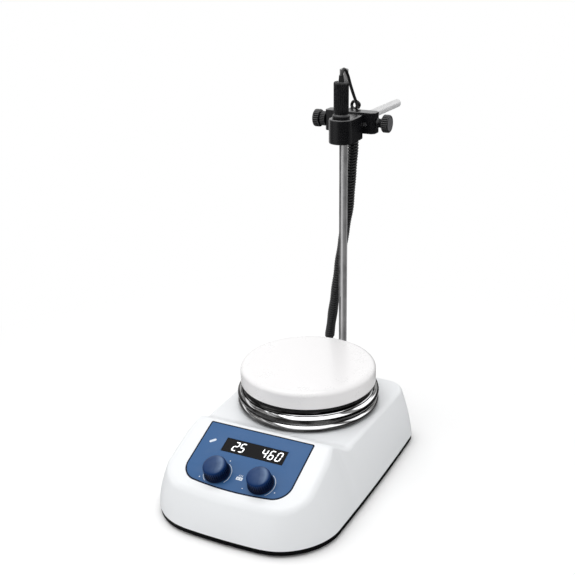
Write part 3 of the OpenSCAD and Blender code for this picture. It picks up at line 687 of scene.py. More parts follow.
# Half width of the top edge at stations along y, pinched beside the top of the panel.
EDGE_Y = [-134, -118, -104, -96, -89.2, -83, -76, -69.5, -60, -40, 54]
EDGE_X = [69.3, 69.2, 68.8, 67.6, 66.0, 66.9, 69.6, 71.2, 71.7, 72.1, 74.6]
TOP_REAR = (EDGE_X[-1] - 0.4, 15.6, 72.1, 3.0, -1)
FOOT_Z, DECK_Z, WALL = 6.5, 56.5, 3.0
SPINE_FRONT, SPINE_REAR = -128.0, 48.0  # ends of the middle line that the top closes on


def smooth_min(a, b, blend):
    h = max(blend - abs(a - b), 0) / blend
    return min(a, b) - h * h * blend / 4


def top_z(y):
    """Height of the top face: sloped front, short ramp behind it, flat deck."""
    slope = PANEL_Z + (y - PANEL_Y) * math.tan(rad(PANEL_TILT))
    ramp = DECK_Z + (-70.0 - y) * (68.9 - DECK_Z) / 19.2
    ridge = smooth_min(slope, ramp, 4.0)
    return ridge if y < -89 else -smooth_min(-ridge, -DECK_Z, 4.5)


def edge_half_width(y):
    """Cubic curve through the EDGE stations, level at both ends."""
    last = len(EDGE_Y) - 1
    i = int(np.clip(np.searchsorted(EDGE_Y, y) - 1, 0, last - 1))
    gap = EDGE_Y[i + 1] - EDGE_Y[i]
    t = min(max((y - EDGE_Y[i]) / gap, 0), 1)

    def rise(j):
        if j in (0, last):
            return 0
        return (EDGE_X[j + 1] - EDGE_X[j - 1]) / (EDGE_Y[j + 1] - EDGE_Y[j - 1]) * gap
    return ((2 * t ** 3 - 3 * t * t + 1) * EDGE_X[i] + (t ** 3 - 2 * t * t + t) * rise(i)
            + (-2 * t ** 3 + 3 * t * t) * EDGE_X[i + 1] + (t ** 3 - t * t) * rise(i + 1))


def end_point(end, inset, straight, angle):
    """Point on an end: a fraction along its straight part, then an angle round its corner."""
    half_width, corner, y, bow, sign = end
    half_width -= inset
    corner -= inset
    x = (half_width - corner) * straight + corner * math.sin(angle)
    dip = bow * (x / half_width) ** 2 + corner - corner * math.cos(angle)
    return x, y + sign * (inset + dip)


def foot_side(y, inset):
    return FOOT_FRONT[0] - inset - 0.6 * y / 100 - 1.8 * (y / 100) ** 2


def foot_end_point(end, inset, straight, angle):
    x, y = end_point(end, inset, straight, angle)
    if straight == 1:
        corner = end[1] - inset
        x = foot_side(y, inset) - corner + corner * math.sin(angle)
    return x, y


def half_rings(inset):
    """Matching points of foot outline, top edge and middle line y, front middle to rear."""
    foot, top, spine = [], [], []
    quarter = math.pi / 2
    for stop in [(i / 8, 0) for i in range(8)] + [(1, quarter * i / 26) for i in range(27)]:
        foot.append(foot_end_point(FOOT_FRONT, inset, *stop))
        x, down_slope = end_point(TOP_FRONT, inset, *stop)
        top.append((x, PANEL_Y + down_slope * math.cos(rad(PANEL_TILT))))
        spine.append(SPINE_FRONT)
    top_start, foot_start = top[-1][1], foot[-1][1]
    # the rear corners begin here; an inset moves end and corner alike
    top_end, foot_end = (y - bow - corner for _, corner, y, bow, _ in (TOP_REAR, FOOT_REAR))
    stations = (*np.linspace(top_start, -104, 5)[1:], *np.arange(-101, -60, 1.5),
                *np.linspace(-59, top_end, 14))
    for y in stations:
        foot_y = np.interp(y, [top_start, -60, top_end], [foot_start, -60, foot_end])
        foot.append((foot_side(foot_y, inset), foot_y))
        top.append((edge_half_width(y) - inset, y))
        spine.append(min(max(y, SPINE_FRONT), SPINE_REAR))
    for stop in ([(1, quarter * (1 - i / 16)) for i in range(1, 17)]
                 + [(1 - i / 7, 0) for i in range(1, 8)]):
        foot.append(foot_end_point(FOOT_REAR, inset, *stop))
        top.append(end_point(TOP_REAR, inset, *stop))
        spine.append(SPINE_REAR)
    return foot, top, spine


def skin_columns(inset):
    """Columns of points up the wall, over the rounded edge and in to the middle line."""
    columns = []
    outer = inset == 0
    for (foot_x, foot_y), (top_x, top_y), spine_y in zip(*half_rings(inset)):
        foot = Vector((foot_x, foot_y, FOOT_Z))
        edge = Vector((top_x, top_y, top_z(top_y) - inset))
        spine = Vector((0, spine_y))
        inward = (spine - Vector((top_x, top_y))).normalized()
        outward = Vector((-inward.x, -inward.y, 0))
        pinch = math.exp(-((top_y + 84) / 11) ** 2)
        radius = 6.0 - 2.6 * pinch - 1.6 * (top_y > -60) if outer else 2.5
        wall_top = edge - (edge - foot).normalized() * radius
        start = Vector((top_x, top_y)) + inward * radius
        top_start = Vector((start.x, start.y, top_z(start.y) - inset))
        column = []
        for t in (0, 0.012, 0.03, 0.2, 0.4, 0.6, 0.8, 0.93):
            point = foot.lerp(wall_top, t)
            if outer:
                bulge = 1.3 * 4 * t * (1 - t) if t else -0.35
                point = point + outward * bulge
            column.append(point)
        for j in range(9):
            u = j / 8
            column.append(wall_top * (1 - u) ** 2 + edge * 2 * u * (1 - u) + top_start * u * u)
        for t in (0.035, 0.09, 0.2, 0.4, 0.7, 1.0):
            point = start.lerp(spine, t)
            column.append(Vector((point.x, point.y, top_z(point.y) - inset)))
        columns.append(column)
    return columns


def housing_skin():
    """Outer and inner sheets, joined along the foot."""
    verts, faces = [], []
    for inset in (0.0, WALL):
        half = skin_columns(inset)
        columns = half + [[Vector((-p.x, p.y, p.z)) for p in c] for c in half[-2:0:-1]]
        first, high, round_ = len(verts), len(columns[0]), len(columns)
        for column in columns:
            verts.extend(column)
        for i in range(round_):
            here, there = first + i * high, first + (i + 1) % round_ * high
            for j in range(high - 1):
                quad = (here + j, there + j, there + j + 1, here + j + 1)
                faces.append(quad[::-1] if inset else quad)
    for i in range(round_):
        here, there = i * high, (i + 1) % round_ * high
        faces.append((here, first + here, first + there, there))
    return make_piece("housing_skin", verts, faces, 40, merge=0.002)


def shield(half_width, top, bottom, corner=14, top_corner=1.5):
    """Panel outline: bowed lower edge, large lower corners, small upper ones."""
    bow = 4.5
    straight = half_width - corner
    half = [(straight * i / 6, bottom + bow * (straight * i / 6 / half_width) ** 2)
            for i in range(6)]
    for i in range(25):
        a = math.pi / 2 * i / 24
        x = straight + corner * math.sin(a)
        y = bottom + bow * (x / half_width) ** 2 + corner - corner * math.cos(a)
        half.append((x, y))
    half += arc(half_width - top_corner, top - top_corner, top_corner, 0, 90, 4)
    return mirrored(half)


def housing():
    body = housing_skin()
    # raised pads on the rear wall
    for corners in ((-66, -22, 62, 4), (-22, 2, 22, 18)):
        pad = place(prism(soft_rectangle(*corners, 3, 4), 0, 4.05), turn(90, "X"))
        pad = place(bevel(pad, 0.5, 2), REAR @ move(0, 0.05, 0))
        boolean(body, [pad], "UNION")
    # recess for the panel film, then its window and shaft holes
    x0, y0, x1, y1 = centred(MIDDLE, WINDOW_ROW, 30, 7.3)
    cutters = [prism(shield(51.15, 0.15, -64.65), -0.6, 6), box(x0, y0, -6, x1, y1, 1)]
    cutters += [cylinder(3.6, -8, 3, 48, x, DIAL_ROW) for x in DIAL_X.values()]
    for cutter in cutters:
        place(cutter, PANEL)
    # round opening under the plate, with four small holes round it
    cutters.append(cylinder(44, 50, 60, 96))
    for angle in (45, 135, 225, 315):
        cutters.append(place(cylinder(1.65, 50, 60, 24, 52, 0), turn(angle, "Z")))
    # rear openings: two rectangles, then round holes as (x, z, radius)
    for x, half_width, half_height in ((INLET_X, 13.7, 9.7), (-55, 6.6, 9.8)):
        x0, z0, x1, z1 = centred(x, REAR_ROW, half_width, half_height)
        cutters.append(place(box(x0, -6, z0, x1, 6, z1), REAR))
    for x, z, radius in ((INLET_X - INLET_SCREW_OFFSET, REAR_ROW, 1.6),
                         (INLET_X + INLET_SCREW_OFFSET, REAR_ROW, 1.6),
                         (CONNECTOR_X, REAR_ROW, 7.2), (-16, 10, 2.05), (16, 10, 2.05)):
        cutters.append(place(cylinder(radius, -6, 6, 36), on_rear(x, z)))
    boolean(body, cutters)
    body.name = "housing_cover"
    finish_mesh(body.data, 38)
    return body


give(weighted(housing()), "base", WHITE, "white_case", "housing_shell")

# ------------------------------------------------------------------ control panel
PRINT_Z = (0.045, 0.09)                 # height of the print above the panel


def panel_film():
    window = soft_rectangle(*centred(MIDDLE, WINDOW_ROW, 30, 7.3), 0.25, 2)
    shafts = [circle(3.6, 48, x, DIAL_ROW) for x in DIAL_X.values()]
    return film(shield(51, 0, -64.5), [window] + shafts, -0.6, 0.05, 0.1, "printed_panel")


def panel_rim():
    inner = shield(49.85, -1.1, -63.35, corner=12.95, top_corner=0.9)
    return film(shield(50.98, -0.02, -64.48), [inner], 0.045, 0.12, 0.02, "panel_rim")


def printed_marks():
    marks = []
    # arcs round the dials, start and end in degrees
    for dial, start, end in (("speed", -50, 60), ("heat", 202, 234), ("heat", -38, 62)):
        x = DIAL_X[dial]
        band = arc(x, DIAL_ROW, 12.65, start, end, 40) + arc(x, DIAL_ROW, 12.25, end, start, 40)
        marks.append(prism(band, *PRINT_Z))
    for x, y, radius in ((-13.8, -35.8, .55), (-32.6, -57.8, .55), (38, -54.8, .55),
                         (12.0, -37.2, .45), (9.3, -58.6, .45)):
        marks.append(prism(circle(radius, 20, x, y), *PRINT_Z))
    marks.append(prism(capsule(-41.2, -21.2, -38.0, -18.7, 1.2, 8), *PRINT_Z))
    # rounded block with two holes, and three short strokes above it
    block_holes = [circle(0.5, 14, x, -50.3) for x in (1.0, 3.6)]
    block = soft_rectangle(-0.7, -51.9, 5.4, -48.7, 0.6, 3)
    marks.append(film(block, block_holes, *PRINT_Z, 0.012))
    for x in (0.9, 2.35, 3.8):
        marks.append(prism(capsule(x, -47.9, x + .35, -46.6, .22, 4), *PRINT_Z))
    return join(marks, "printed_marks")


def display_pane():
    outline = rectangle(*centred(MIDDLE, WINDOW_ROW, 29.8, 7.1))
    return weighted(bevel(prism(outline, -3, -0.02, "display_pane"), 0.12, 2))


DIGIT_HEIGHT, DIGIT_WIDTH, DIGIT_SLANT, BAR_HALF, BAR_GAP = 9.8, 5.0, 8.0, 0.5, 0.16
DIGIT_Y = WINDOW_ROW - 7.3 + 2.5
BARS_OF = {"0": "abcdef", "2": "abged", "4": "fgbc", "5": "afgcd", "6": "afgedc", "8": "abcdefg"}
LEFT, RIGHT = BAR_HALF, DIGIT_WIDTH - BAR_HALF
LOW, HALFWAY, HIGH = BAR_HALF, DIGIT_HEIGHT / 2, DIGIT_HEIGHT - BAR_HALF
# each bar of a seven-segment figure: start x, start y, runs upwards
BARS = {"a": (LEFT, HIGH, 0), "b": (RIGHT, HALFWAY, 1), "c": (RIGHT, LOW, 1), "d": (LEFT, LOW, 0),
        "e": (LEFT, LOW, 1), "f": (LEFT, HALFWAY, 1), "g": (LEFT, HALFWAY, 0)}


def digit(figure, x, z0, z1):
    """Bars of a slanted figure with its lower left corner at x."""
    bars = []
    inner = BAR_HALF + BAR_GAP
    for key in BARS_OF[figure]:
        bar_x, bar_y, upright = BARS[key]
        length = HALFWAY - LOW if upright else RIGHT - LEFT
        outline = []
        for along, across in ((BAR_GAP, 0), (inner, -BAR_HALF), (length - inner, -BAR_HALF),
                              (length - BAR_GAP, 0), (length - inner, BAR_HALF),
                              (inner, BAR_HALF)):
            step_x, step_y = (across, along) if upright else (along, across)
            y = bar_y + step_y
            shear = y * math.tan(rad(DIGIT_SLANT))
            outline.append((x + bar_x + step_x + shear, DIGIT_Y + y))
        bars.append(prism(outline, z0, z1))
    return bars


def lit_digits():
    bars = []
    for figure, offset in zip("25460", (-21.3, -14.9, 6.6, 13.7, 20.7)):
        bars += digit(figure, MIDDLE + offset, -0.02, 0.03)
    return join(bars, "lit_digits")


def knob(dial):
    profile = [(0, 10.02), (2.55, 10.02), (2.55, 5.3), (7, 5.3), (7, 1.1), (11.2, 1.0),
               (11.45, 1.15), (11.5, 1.4), (11.5, 1.75), (11.35, 2.05), (11.0, 2.3), (10.9, 2.6)]
    profile += [(10.9 - 0.45 * i / 8, 2.6 + 7.4 * i / 8) for i in range(1, 9)]
    for i in range(1, 21):
        a = rad(90 * i / 21)
        profile.append((10.45 * math.cos(a) ** 0.86, 10.0 + 3.75 * math.sin(a)))
    profile.append((0, 13.75))
    flutes = fluted(9.4, 2.5, 11.2, depth=0.55, count=36, power=0.9, ease=0.8, ease_top=1.4)
    piece = lathe(profile, 288, flutes, 50, dial + "_dial_knob")
    place(piece, PANEL @ move(DIAL_X[dial], DIAL_ROW, 0))
    give(piece, dial + "_turn", NAVY, "knobs", dial + "_knob")


give(place(panel_film(), PANEL), "base", BLUE, "panel_film", "panel_overlay")
give(place(panel_rim(), PANEL), "base", BLUE_EDGE, "panel_film")
give(place(printed_marks(), PANEL), "base", INK, "panel_film")
give(place(display_pane(), PANEL), "base", WINDOW, "window", "display_window")
give(place(lit_digits(), PANEL), "base", DIGIT, "digits")
unlit = join(digit("8", MIDDLE - 28.0, -0.05, -0.005), "unlit_digits")
give(place(unlit, PANEL), "base", UNLIT, "window")
knob("heat")
knob("speed")

# ------------------------------------------------------------------ plate and skirt, (radius, z)
plate_profile = [(0, 78.8), (62.0, 78.8)] + arc(62.7, 80.3, 1.5, -90, 0, 5)
plate_profile += [(64.2, 83), (64.15, 90)]
plate_profile += [(58.35 + 5.8 * math.cos(rad(a)), 91.2 + 4.8 * math.sin(rad(a)))
                  for a in range(0, 91, 6)]
plate_profile += [(40, 96), (20, 96), (0, 96)]
plate = lathe(plate_profile, 192, name="enamelled_plate")
give(weighted(plate), "base", ENAMEL, "white_plate", "heating_plate")

# two stacked rolls and an inward flange
skirt_profile = [(60.3, 75.2), (61.8, 75.2), (61.9, 74.2)]
skirt_profile += arc(63.35, 68.7, 4.15, 104, -72, 24) + arc(63.7, 60.4, 3.8, 72, -98, 22)
skirt_profile += [(60.3, 57.0), (60.3, 66.6), (46.5, 66.6), (46.5, 67.8), (60.3, 67.8)]
skirt = lathe(skirt_profile, 192, angle=28, name="chrome_skirt")
give(skirt, "base", CHROME, "chrome_skirt", "plate_skirt")


def plate_seal():
    """Seal with three rounded outer corners; the others stay square."""
    lower, *outer, upper = [(60.6, 75.25, 0), (62.6, 75.25, .5), (62.6, 76.6, .4), (63.1, 77.2, .4),
                            (63.1, 78.75, .4), (60.6, 78.75, 0)]
    corners = rounded([lower, *outer, upper], 3)[4:-4]
    square = [tuple(Vector(point[:2])) for point in (lower, upper)]
    return lathe([square[0], *corners, square[1]], 144, name="plate_seal")


give(plate_seal(), "base", RUBBER, "rubber", "plate_gasket")


# ------------------------------------------------------------------ foot parts and screws
def foot_ring(inset):
    return mirrored(half_rings(inset)[0])


def foot_band():
    band = bevel(prism(foot_ring(0.45), 2.0, FOOT_Z, "foot_band"), 0.45, 2, 60)
    boolean(band, [prism(foot_ring(4.5), 4.0, 9)])
    screws = [(side * x, y) for x, y in CASE_SCREWS for side in (-1, 1)]
    posts = [cylinder(6, 3.5, FOOT_Z, 32, x, y) for x, y in screws]
    posts += [cylinder(3.2, 3.5, 14, 32, x, y) for x in (-46, 46) for y in (-122, -70)]
    boolean(band, posts, "UNION")
    counterbore = [(0, 1), (3.6, 1), (3.6, 4.6), (1.65, 4.6), (1.65, 11), (0, 11)]
    boolean(band, [place(lathe(counterbore, 32), move(x, y, 0)) for x, y in screws])
    slots = []
    for i in range(-3, 4):
        for y in (-46, 30):
            slot = soft_rectangle(i * 9 - 1.5, y, i * 9 + 1.5, y + 22, 1.4, 4)
            slots.append(prism(slot, 1, 6))
    foot_holes = [cylinder(3.02, 1, 6, 32, x, y) for x, y in FEET]
    return weighted(boolean(band, [join(slots), join(foot_holes)]))


give(foot_band(), "base", BASE, "black_base", "base_plate")

FOOT_PROFILE = [(0, 0.5), (4.2, 0.5), (4.6, 0), (7.5, 0), (7.9, 0.25), (8, 0.7), (7.8, 1.7),
                (7.4, 2.0), (3, 2.0), (2.95, 4.0), (3.9, 4.1), (3.4, 5.1), (0, 5.2)]
pads = [place(lathe(FOOT_PROFILE, 48), move(x, y, 0)) for x, y in FEET]
give(join(pads, "rubber_pads"), "base", RUBBER, "rubber", "rubber_feet")


def screw(head, height, shank, length, angle):
    """Pan-head cross-recess screw: the head sits on z = 0 and the shank points down."""
    profile = [(0, -length), (shank * 0.6, -length), (shank, -length + shank * 0.6)]
    z = -length + shank * 0.6
    while z < -0.9:
        profile += [(shank, z), (shank * 0.86, z + 0.25), (shank, z + 0.5)]
        z += 0.5
    profile += [(shank * 0.9, -0.05), (shank * 0.9, 0), (head, 0), (head, height * 0.35)]
    for a in (15, 30, 45, 60, 75):
        profile.append((head * math.cos(rad(a)) ** 0.7,
                        height * 0.35 + height * 0.65 * math.sin(rad(a))))
    piece = lathe(profile + [(0, height)], 36)
    for a in (0, 90):
        slot = box(-head * 0.62, -head * 0.13, height * 0.3, head * 0.62, head * 0.13, height * 2)
        boolean(piece, [place(slot, turn(a + angle, "Z"))])
    return piece


screws = []
for k, (x, y) in enumerate(CASE_SCREWS):
    for side in (-1, 1):
        piece = screw(3.1, 1.9, 1.55, 12.5, angle=23 * k + 40 * side)
        screws.append(place(piece, move(side * x, y, 4.6) @ turn(180, "X")))
give(join(screws, "case_screws"), "base", SCREW, "screws", "base_screws")
screws = []
for k, side in enumerate((-1, 1)):
    piece = screw(2.8, 1.6, 1.5, 9, angle=31 * k + 12)
    rear = on_rear(INLET_X + side * INLET_SCREW_OFFSET, REAR_ROW)
    screws.append(place(piece, rear @ move(0, 0, 2.2)))
give(join(screws, "inlet_fixings"), "base", SCREW, "screws", "inlet_screws")

# ------------------------------------------------------------------ rod and clamp head
rod = lathe([(0, 36), (4, 36), (4, 353.4), (3.85, 353.75), (3.4, 354), (0, 354)], 96,
            name="stand_rod")
give(weighted(place(rod, move(0, ROD_Y, 0))), "base", ROD, "bright_steel", "support_rod")
sleeve = lathe(soft_rectangle(4.05, CLAMP_BOTTOM, 5.2, CLAMP_TOP, 0.15, 2), 96,
               name="split_sleeve")
give(place(sleeve, move(0, ROD_Y, 0)), "bush", GRIP, "black_clamp", "head_bush")

BOSS_OUTLINE = [                        # x, y, corner radius
    (-16.2, 75.2, .6), (-14.6, 73.6, .8), (-6.5, 73.2, 2), (-4, 72.7, 2), (4, 72.7, 2),
    (6.5, 73, 2), (30.2, 73, .6), (33, 75.8, .6), (33, 84.2, .6), (30.2, 87, .6),
    (6.5, 87, 2), (4, 87.3, 2), (-4, 87.3, 2), (-6.5, 86.8, 2), (-14.6, 86.4, .8),
    (-16.2, 84.8, .6)]
boss = prism(rounded(BOSS_OUTLINE, 4), CLAMP_BOTTOM, CLAMP_TOP, "clamp_boss")
bevel(boss, 0.9, 3, 60)
boolean(boss, [
    cylinder(5.25, 290, 330, 96, 0, ROD_Y),
    aim(cylinder(4.05, -12, 12, 64), PROBE_X, ROD_Y, HEAD_Z, "y"),
    aim(cylinder(2.5, 0, 18, 48), -20, ROD_Y, HEAD_Z, "x"),
    aim(cylinder(2.5, 0, 26, 48), 12, ROD_Y, HEAD_Z, "x"),
    aim(cylinder(1.6, 0, 4.5, 32), 24, 72, 307.5, "y")])
give(weighted(boss), "head", PAINT, "black_clamp", "boss_head")
pin = lathe([(0, 0), (1.5, 0), (1.55, 0.3), (1.55, 3.2), (0, 3.2)], 32, name="spring_pin")
give(aim(pin, 24, 73.5, 307.5, "y"), "head", SCREW, "black_clamp")


def thumbscrew(name, profile, grooves, x, toward, face_radius, body, replaced):
    """Knurled screw along X, with a turned face within face_radius of its axis."""
    piece = lathe(profile, 288, grooves, name=name)
    give(aim(piece, x, ROD_Y, HEAD_Z, toward), body, GRIP, "black_grip", replaced)
    piece.data.materials.append(FACE)
    centre = Vector((x, ROD_Y, HEAD_Z)) * MM
    axis = Vector((1 if toward == "x" else -1, 0, 0))
    for polygon in piece.data.polygons:
        offset = polygon.center - centre
        from_axis = (offset - axis * offset.dot(axis)).length
        if polygon.normal.dot(axis) > 0.7 and from_axis < face_radius * MM:
            polygon.material_index = 1


def knurl(radius, depth, z0, z1):
    return fluted(radius - 0.6, z0, z1, depth, count=24, power=1.5, ease=0.5, ease_top=0.5)


NECK_KNURL = knurl(6.6, 0.6, 11.8, 16.6)
HEAD_KNURL = knurl(8.0, 0.75, 17.9, 23.2)


def two_step_knurl(radius, z, theta):
    return (HEAD_KNURL if z > 17 else NECK_KNURL)(radius, z, theta)


ROD_SCREW = [                           # radius, z
    (0, 0), (2.1, 0), (2.4, 0.3), (2.4, 11.2), (5.6, 11.4), (6.4, 11.9), (6.6, 12.5),
    (6.6, 15.8), (6.2, 16.5), (5.2, 17.0), (6.9, 17.3), (7.7, 17.8), (8.0, 18.5), (8.0, 22.6),
    (7.7, 23.2), (7.0, 23.7), (6.1, 23.8), (5.9, 23.3), (0, 23.1)]
ARM_SCREW = [
    (0, 0), (2.1, 0), (2.4, 0.3), (2.4, 17.4), (4.4, 17.6), (4.6, 18.0), (3.9, 19.1),
    (4.0, 20.5), (4.9, 22.4), (6.2, 23.2), (7.5, 23.5), (8.0, 24.1), (8.0, 28.5), (7.8, 29.2),
    (7.2, 29.7), (6.6, 29.8), (6.4, 29.4), (0, 29.3)]
thumbscrew("rod_lock_screw", ROD_SCREW, two_step_knurl, -5.4, "-x", 5.9,
           "rod_screw", "rod_thumbscrew")
thumbscrew("arm_lock_screw", ARM_SCREW, knurl(8.0, 0.75, 23.4, 29.4), 16.1, "x", 6.4,
           "arm_screw", "arm_thumbscrew")

# ------------------------------------------------------------------ cross bar and probe
arm = lathe([(0, 0), (3.6, 0), (4.0, 0.4), (4.0, 133.3), (3.8, 133.75), (3.4, 134), (0, 134)],
            80, name="cross_bar")
give(weighted(aim(arm, PROBE_X, 53, HEAD_Z, "y")), "arm", ARM, "bright_steel", "cross_rod")

bracket_outline = arc(PROBE_X, PROBE_Y, 11, 180, 360, 32)
bracket_outline += [(23, 53), (23, 60), (23, 66), (22.6, 71.2), (21.4, 72.5), (2.6, 72.5),
                    (1.4, 71.2), (1, 66), (1, 60), (1, 53)]
bracket = bevel(prism(bracket_outline, 294.6, 316.3, "probe_bracket"), 1.1, 3, 60)
boolean(bracket, [cylinder(5.05, 285, 330, 96, PROBE_X, PROBE_Y),
                  aim(cylinder(4.05, 0, 30, 64), PROBE_X, 50, HEAD_Z, "y")])
give(weighted(bracket), "holder", PAINT, "black_clamp", "probe_holder")


def probe_grip():
    profile = [(0, 308.6), (1.55, 308.6), (1.55, 296.65), (5.0, 296.65), (5.0, 316.32),
               (7.0, 316.32), (7.75, 316.6), (7.95, 317.1), (7.95, 318.6), (7.7, 319.3),
               (7.0, 319.8), (6.55, 320.2)]
    profile += [(6.75, 320.7 + 25.2 * i / 8) for i in range(9)]
    profile += [(6.72, 346.6), (6.5, 347.3), (6.0, 347.8), (5.2, 347.95), (4.6, 347.2),
                (2.6, 347.2), (2.2, 347.9), (0, 348.0)]
    # the grooves run out at full depth, so their upper ease is next to nothing
    grooves = fluted(6.0, 320.6, 347.4, depth=0.5, count=24, power=1.6, ease=0.8, ease_top=1e-6)
    piece = lathe(profile, 288, grooves, 45, "probe_grip")
    # scallop the top rim in step with the grooves
    for vertex in piece.data.vertices:
        point = vertex.co
        if point.z > 0.3464 and math.hypot(point.x, point.y) / MM > 4.9:
            wave = 0.5 - 0.5 * math.cos(24 * math.atan2(point.y, point.x))
            point.z -= 0.0009 * wave * min(1, (point.z - 0.3464) / 0.001)
    return piece


AT_PROBE = move(PROBE_X, PROBE_Y, 0)
give(place(probe_grip(), AT_PROBE), "probe", GRIP, "black_grip", "probe_handle")
stem_profile = [(0, 148.0)] + [(1.5 * math.sin(rad(a)), 149.5 - 1.5 * math.cos(rad(a)))
                               for a in (18, 36, 54, 72, 90)]
stem_profile += [(1.5, 200), (1.5, 250), (1.5, 308.5), (0, 308.5)]
stem = lathe(stem_profile, 48, name="probe_tube")
give(place(stem, AT_PROBE), "probe", STEM, "bright_steel", "probe_stem")

# ------------------------------------------------------------------ probe cable, (x, y, z)
LEAD = [(12, 47, 347.6), (12, 47.2, 353.0), (12.5, 50.0, 357.6), (13.1, 53.6, 356.4),
        (13.5, 58, 351.4), (12.5, 66, 342.4), (10.9, 77, 332.1), (9.6, 86, 324.4)]
LOOP = [(8.9, 89.8, 320.6), (7.0, 91.8, 317.6), (4.0, 92.6, 317.2), (2.2, 93.0, 320.0),
        (3.4, 93.4, 323.2), (6.6, 93.8, 323.6), (9.3, 94.4, 321.0), (8.0, 94.8, 317.6)]
COIL_AXIS = [
    (4.6, 94.6, 316.6), (2.3, 95.2, 312.5), (1.8, 95.6, 306), (2.0, 95.5, 300),
    (3.1, 95.2, 293.5), (3.3, 95, 286), (2.5, 95, 268.6), (0.9, 95, 249), (-0.4, 95.3, 229.5),
    (-2.8, 96.2, 215), (-6.0, 97.6, 199), (-9.3, 99.3, 182), (-13.0, 101.3, 163),
    (-18.5, 104, 130), (-25, 108, 95), (-30.4, 112, 66)]
TAIL = [(-31.6, 115.4, 54), (-33.2, 119, 43), (-34, 121.5, 34), (-34, 120.5, 28.6),
        (-34, 117, 26.9), (-34, 113, 26.3)]
COIL_PITCH, COIL_RADIUS, COIL_STEPS = 2.75, 3.85, 15      # steps in one turn


def nearest(path, point):
    return min(range(len(path)), key=lambda i: (path[i] - Vector(point)).length)


def cable(name, path, radius, sides, bodies, start, end, *replaced):
    """Length of cable along a path, standing in for the replaced CAD nodes; bodies, start and end
    are not used.
    """
    piece = tube(name, path, radius, sides)
    piece.data.materials.append(CABLE)
    if replaced:
        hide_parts(*replaced)
    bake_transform(piece)


def coil_path(lead_end):
    """Helix about COIL_AXIS, opening and closing at its ends, led in and out smoothly."""
    axis = smooth_path(COIL_AXIS, 0.6)
    normals = path_normals(axis)
    run = [0.0]
    for a, b in zip(axis, axis[1:]):
        run.append(run[-1] + (b - a).length)
    total = run[-1]
    steps = int(total / COIL_PITCH * COIL_STEPS)
    helix = []
    for i in range(steps + 1):
        along = total * i / steps
        k = min(int(np.searchsorted(run, along, side="right")) - 1, len(axis) - 2)
        centre = axis[k].lerp(axis[k + 1], (along - run[k]) / max(run[k + 1] - run[k], 1e-9))
        across, other = normals[k]
        grow = min(1, (along + 1.5) / 5.0, (total - along) / 9.0)
        grow = grow * grow * (3 - 2 * grow)
        a = 2 * math.pi * along / COIL_PITCH
        swell = 1 + 0.05 * math.sin(along * 0.21)
        spoke = across * math.cos(a) + other * math.sin(a)
        helix.append(centre + spoke * COIL_RADIUS * grow * swell)
    lead_in = [lead_end + Vector((0.1, 0, 0.6)), lead_end.lerp(helix[0], 0.5), helix[0]]
    helix = smooth_path(lead_in, 0.6)[:-1] + helix
    return helix + smooth_path([helix[-1]] + TAIL, 0.9)[1:]


lead = smooth_path(LEAD + LOOP, 0.7)
first, second = nearest(lead, (13.35, 56, 353.2)), nearest(lead, (12.5, 66, 342.4))
cable("lead_loop", lead[:first + 1], 1.4, 20, ("probe", "holder"),
      (12, 47.6, 350), (12, 55.6, 350))
cable("lead_span", lead[first:second + 1], 1.4, 20, ("holder", "arm"),
      (12, 56.4, 350), (12, 65.6, 350))
cable("lead_drop", lead[second:], 1.4, 20, ("arm", "head"),
      (12, 66.6, 340), (12, 88, 340), "cable_lead")
boot = lathe([(1.35, 347.3), (2.6, 347.3), (2.3, 350.0), (2.0, 353.2), (1.35, 353.4)], 32,
             name="lead_boot")
give(place(boot, AT_PROBE), "probe", GRIP, "cable")
coil = coil_path(lead[-1])
split = next(i for i, point in enumerate(coil) if point.z < 252)
cable("coil_upper", coil[:split + 1], 1.3, 9, ("bush", "head"), (0, 95, 256), (0, 95, 302))
cable("coil_lower", coil[split:], 1.3, 9, ("base", "bush"), (0, 95, 44), (0, 95, 250),
      "coil_cord")

connector_profile = [
    (0, -3.8), (5.2, -3.8), (5.25, -3.3), (5.3, 3.1), (6.6, 3.2), (7.3, 3.7), (7.4, 4.4),
    (7.4, 17.6), (7.1, 18.6), (6.2, 19.4), (6.0, 20.0), (5.9, 23.4), (5.3, 24.2)]
for i in range(5):                      # ribs, narrowing outwards
    z, rib = 24.4 + i * 2.6, 3.2 - i * 0.1
    connector_profile += [(rib, z), (rib, z + 1.5), (2.3, z + 1.7), (2.3, z + 2.4)]
connector_profile += [(2.4, 37.6), (1.5, 37.9), (0, 37.9)]
connector = lathe(connector_profile, 96, angle=40, name="cable_connector")
give(place(connector, on_rear(CONNECTOR_X, REAR_ROW)), "base", GRIP, "cable", "cable_plug")

# ------------------------------------------------------------------ CAD solids carried over
CARRIED = (                             # material, edge bevel, names
    (UNLIT, 0.1, "display_digits"), (PCB, 0.1, "display_board"), (PCB, 0.15, "main_board"),
    (SCREW, 0.15, "board_screws bracket_screws"), (SCREW, 0.25, "encoder_nuts"),
    (SCREW, 0.2, "heat_shaft speed_shaft pillar_screws plate_screws"),
    (SCREW, 0.3, "sensor_socket plate_pillars"),
    (SHEET, 0.2, "heat_encoder speed_encoder motor_bracket reflector_pan"),
    (SHEET, 0.3, "rotor_core"), (SHEET, 0.4, "motor_can magnet_carrier drive_magnets"),
    (GOLD, 0.1, "heat_plunger speed_plunger"), (GOLD, 0.3, "inlet_pins plate_sensor"),
    (COPPER, 0.8, "transformer"), (COPPER, 0.3, "motor_stator"),
    (BASE, 0.35, "power_inlet switch_body"), (GRIP, 0.3, "fuse_drawer"),
    (GRIP, 0.35, "power_rocker"), (BEARING, 0.3, "motor_bearings rotor_shaft"),
    (CERAMIC, 0.3, "heating_element"), (WOOL, 0.3, "insulation_disc"),
    (PAINT, 0.9, "rod_holder"))
